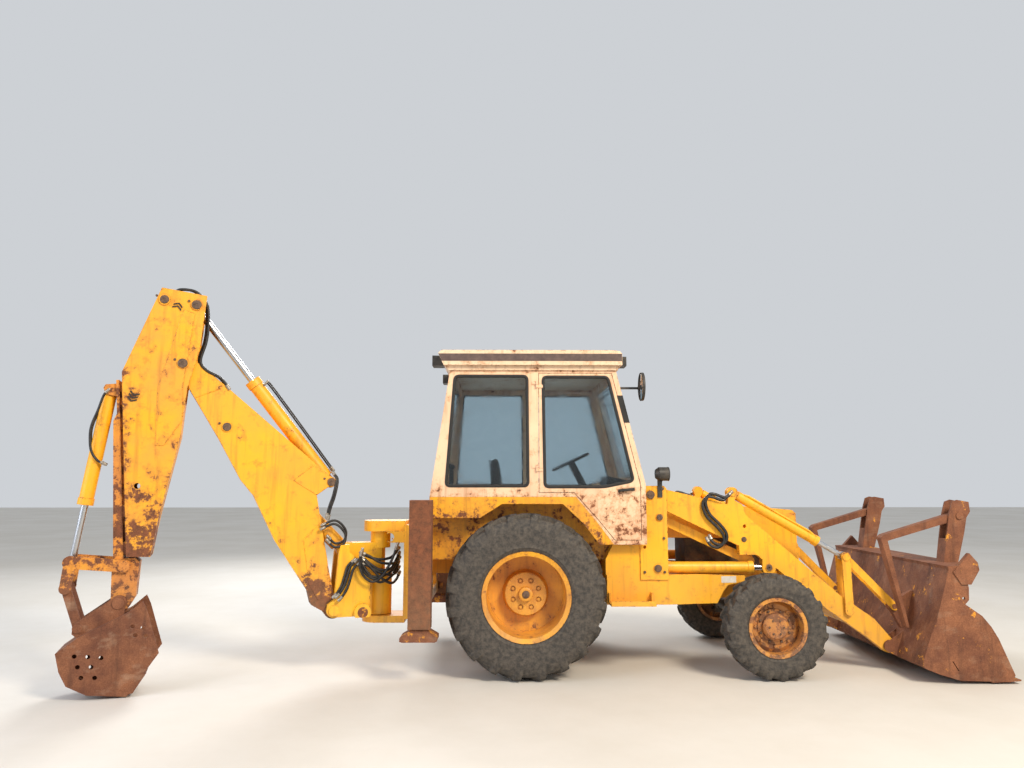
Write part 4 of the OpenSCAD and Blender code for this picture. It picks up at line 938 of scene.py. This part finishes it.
def side_weld(outline, out):
    """A weld along an outline of [x, z] on the digging arm's side, out from its middle."""
    return weld([[x, out, z] for x, z in outline], hoe)


for sign in (-1, 1):
    piece(f"dipper weld {sign}", side_weld(DOUBLER, sign * 151), paint_dipper, "dipper", 60)
    cap = lathe(SWING_CAP, hoe([-185, sign * 210, 547]), across_arm * sign, 48)
    piece(f"swing ram cap {sign}", cap, plate_leg, "kingpost", 30)
    seams = join(side_weld(FOOT_PLATE, sign * 106), side_weld(FOOT_DOUBLER, sign * 106),
                 side_weld(TOP_SEAM, sign * 105.5))
    piece(f"boom weld {sign}", seams, paint_boom, "boom", 60)

# %% [markdown]
# ## Lamps and mirrors
#
# The round lamps have a clear lens over a bright bowl in a black rim, the mirrors a silvered face in a
# black ring. All of them are turned, so each is a short profile of [radius, height] and a lathe. A rim's
# profile is closed, because the rim is open in its middle.

# %% Lamps and mirrors
LAMP_RIM = [[48, -2], [62, -2], [65, 2], [62, 9], [56, 11], [52, 8]]
LAMP_BOWL = [[0, 1.2], [30, 1.5], [51, 2], [51, 0.5], [0, 0.5]]
LAMP_LENS = [[0, 9], [25, 8], [44, 6], [51.5, 4], [51.5, 2.4], [0, 2.2]]
MIRROR_FACE = [[0, 1.6], [117, 1.4], [119, 0], [0, 0]]
MIRROR_RIM = [[117, -1], [129, -1], [131, 3], [127, 7], [119, 3]]
WORK_LENS = [[0, 5], [30, 4], [36, 2], [37, 0], [0, 0]]
WORK_BOWL = [[0, 0.4], [35, 0.6], [35, -1], [0, -1]]
# Places (forward, out, up) in mm
HEAD_LAMP, MIRROR = (1297, 752, 1757), (1045, 890, 2540)
WORK_LAMPS = ((1, (945, 640, 2798)), (-1, (-860, 640, 2802)))  # facing forwards and backwards


def turned(name, profile, place, way, sides, material, slot, closed=False):
    """One turned piece of the lamps or the mirrors, fixed to the chassis."""
    return piece(name, lathe(profile, place, way, sides, closed), material, "chassis")


for side, sign in SIDES:
    this_side = np.array([1, sign, 1])
    front, mirror = machine(HEAD_LAMP * this_side), machine(MIRROR * this_side)
    turned(f"head lamp rim {side}", LAMP_RIM, front, forward, 48, black_enamel, "black_paint", True)
    turned(f"head lamp bowl {side}", LAMP_BOWL, front, forward, 48, silvered, "chrome_rod")
    turned(f"head lamp lens {side}", LAMP_LENS, front, forward, 48, lens_glass, "window_glass")
    turned(f"mirror glass {side}", MIRROR_FACE, mirror, -forward, 64, silvered, "chrome_rod")
    turned(f"mirror rim {side}", MIRROR_RIM, mirror, -forward, 64, black_enamel, "black_paint", True)
    for direction, place in WORK_LAMPS:
        face, way = machine(place * this_side), forward * direction
        turned(f"work lamp lens {side} {direction}", WORK_LENS, face, way, 40, lens_glass, "window_glass")
        turned(f"work lamp bowl {side} {direction}", WORK_BOWL, face, way, 40, silvered, "chrome_rod")

# %% [markdown]
# ## Drip strips and door handles
#
# A dull strip runs along each side of the roof. The door's handle is a moulded bar that stands off the skin
# on two bent ends over a flat socket, and it swings with its door.

# %% Drip strips and door handles
DRIP_STRIP = [[-761, 2779], [-792, 2846], [882, 2846], [882, 2779]]
SOCKET = [[836, 1590], [984, 1608], [984, 1634], [836, 1618]]
GRIP_RADIUS = 0.009  # metres
ROOF_SIDE = 859
GRIP = np.array([[846, 800, 1604], [850, 828, 1605], [880, 836, 1609], [940, 836, 1617], [968, 828, 1621],
                 [972, 800, 1622]])
for side, sign in SIDES:
    strip = plate(DRIP_STRIP, sign * ROOF_SIDE, sign * (ROOF_SIDE + 3), chamfer=0.6)
    piece(f"drip strip {side}", strip, drip_strip, "chassis")
    grip = tube(smooth(machine(GRIP * [1, sign, 1])), GRIP_RADIUS)
    socket = plate(SOCKET, sign * (CAB_SIDE - 0.5), sign * (CAB_SIDE + 5), chamfer=1.5)
    piece(f"door handle {side}", join(grip, socket), moulded, f"door_{side}", 40)

# %% [markdown]
# ## Plain marks
#
# The machine carries a few marks without words: dark chevrons on the dipper's right side, a small blank
# white plate on the tank and black tape round the cab's right front post.

# %% Plates and stripes
MARK_WAY = np.array([302, 794]) / np.hypot(302, 794)
MARK_STEP = 26
MARK_INSIDE, MARK_OUTSIDE = -156.4, -157.2  # a coat of paint on the dipper's right plate
LOW_MARKS, HIGH_MARKS = np.array([-2115, 2382]), np.array([-1816, 3166])
BLANK_PLATE = [[1790, 774], [1925, 776], [1925, 834], [1790, 832]]
TAPE = [[838, 2470], [891, 2470], [951, 2220], [898, 2220]]


def chevron(centre, way):
    """A flat V on the dipper's right side, pointing along way: [along, across] turned onto [x, z] in mm."""
    shape = np.array([[16, 0], [-8, 38], [-22, 38], [2, 0], [-22, -38], [-8, -38]])
    spots = centre + shape[:, :1] * way + shape[:, 1:] * np.array([-way[1], way[0]])
    return plate(spots, MARK_INSIDE, MARK_OUTSIDE, hoe, 0.1)


marks = [chevron(LOW_MARKS + MARK_WAY * MARK_STEP * k, -MARK_WAY) for k in (-1, 0, 1)]
marks += [chevron(HIGH_MARKS + MARK_WAY * MARK_STEP * k, MARK_WAY) for k in (0, 1)]
piece("dipper stripes", join(*marks), stripe_black, "dipper")
piece("blank plate", plate(BLANK_PLATE, -625.2, -627, chamfer=0.4), white_plastic, "chassis")
piece("tape on post", plate(TAPE, -803, -758, chamfer=1), seal_rubber, "chassis")
print("chevrons:", len(marks))

# %% [markdown]
# ## Studio
#
# A pale floor that runs on to the horizon and soft light from above keep the eye on the machine. One large
# warm lamp stands in for the sun, high and to the right of the camera, so that the plates keep their form.

# %% Floor and sky
FLOOR_HALF = 45.0
floor_mesh = bpy.data.meshes.new("floor")
corners = np.array([[-1, -1], [1, -1], [1, 1], [-1, 1]]) * FLOOR_HALF
floor_mesh.from_pydata(np.insert(corners, 2, 0.0, axis=1).tolist(), [], [[0, 1, 2, 3]])
floor = bpy.data.objects.new("floor", floor_mesh)
scene.collection.objects.link(floor)
floor_mesh.materials.append(dusty("studio floor, pale", "#D5D1CA", "#CCC7BE", 0.8, 1.0, 2500, 20))

world = bpy.data.worlds.new("studio sky")
world.use_nodes = True
sky = world.node_tree.nodes["Background"].inputs
sky["Color"].default_value = linear("#E9EDF2")
sky["Strength"].default_value = 0.75
scene.world = world
scene.view_settings.view_transform = "Standard"

# %% Lamps of the studio


def lamp(name, place, target, size, power, colour):
    """A square area light of a size in metres and a power in watts, which looks from place to target."""
    made = bpy.data.objects.new(name, bpy.data.lights.new(name, "AREA"))
    made.data.size = size
    made.data.energy = power
    made.data.color = linear(colour)[:3]
    made.location = place
    made.rotation_euler = (Vector(target) - Vector(place)).to_track_quat("-Z", "Y").to_euler()
    scene.collection.objects.link(made)


lamp("key", (5.5, -8.5, 8.5), (0, 0, 1.2), 3.0, 1500, "#FFF1DC")
lamp("fill", (-9.0, -6.0, 5.0), (0, 0, 1.2), 6.0, 450, "#E6EEFF")
lamp("rim", (-3.0, 8.0, 7.0), (0, 0, 1.5), 4.0, 700, "#FFFFFF")
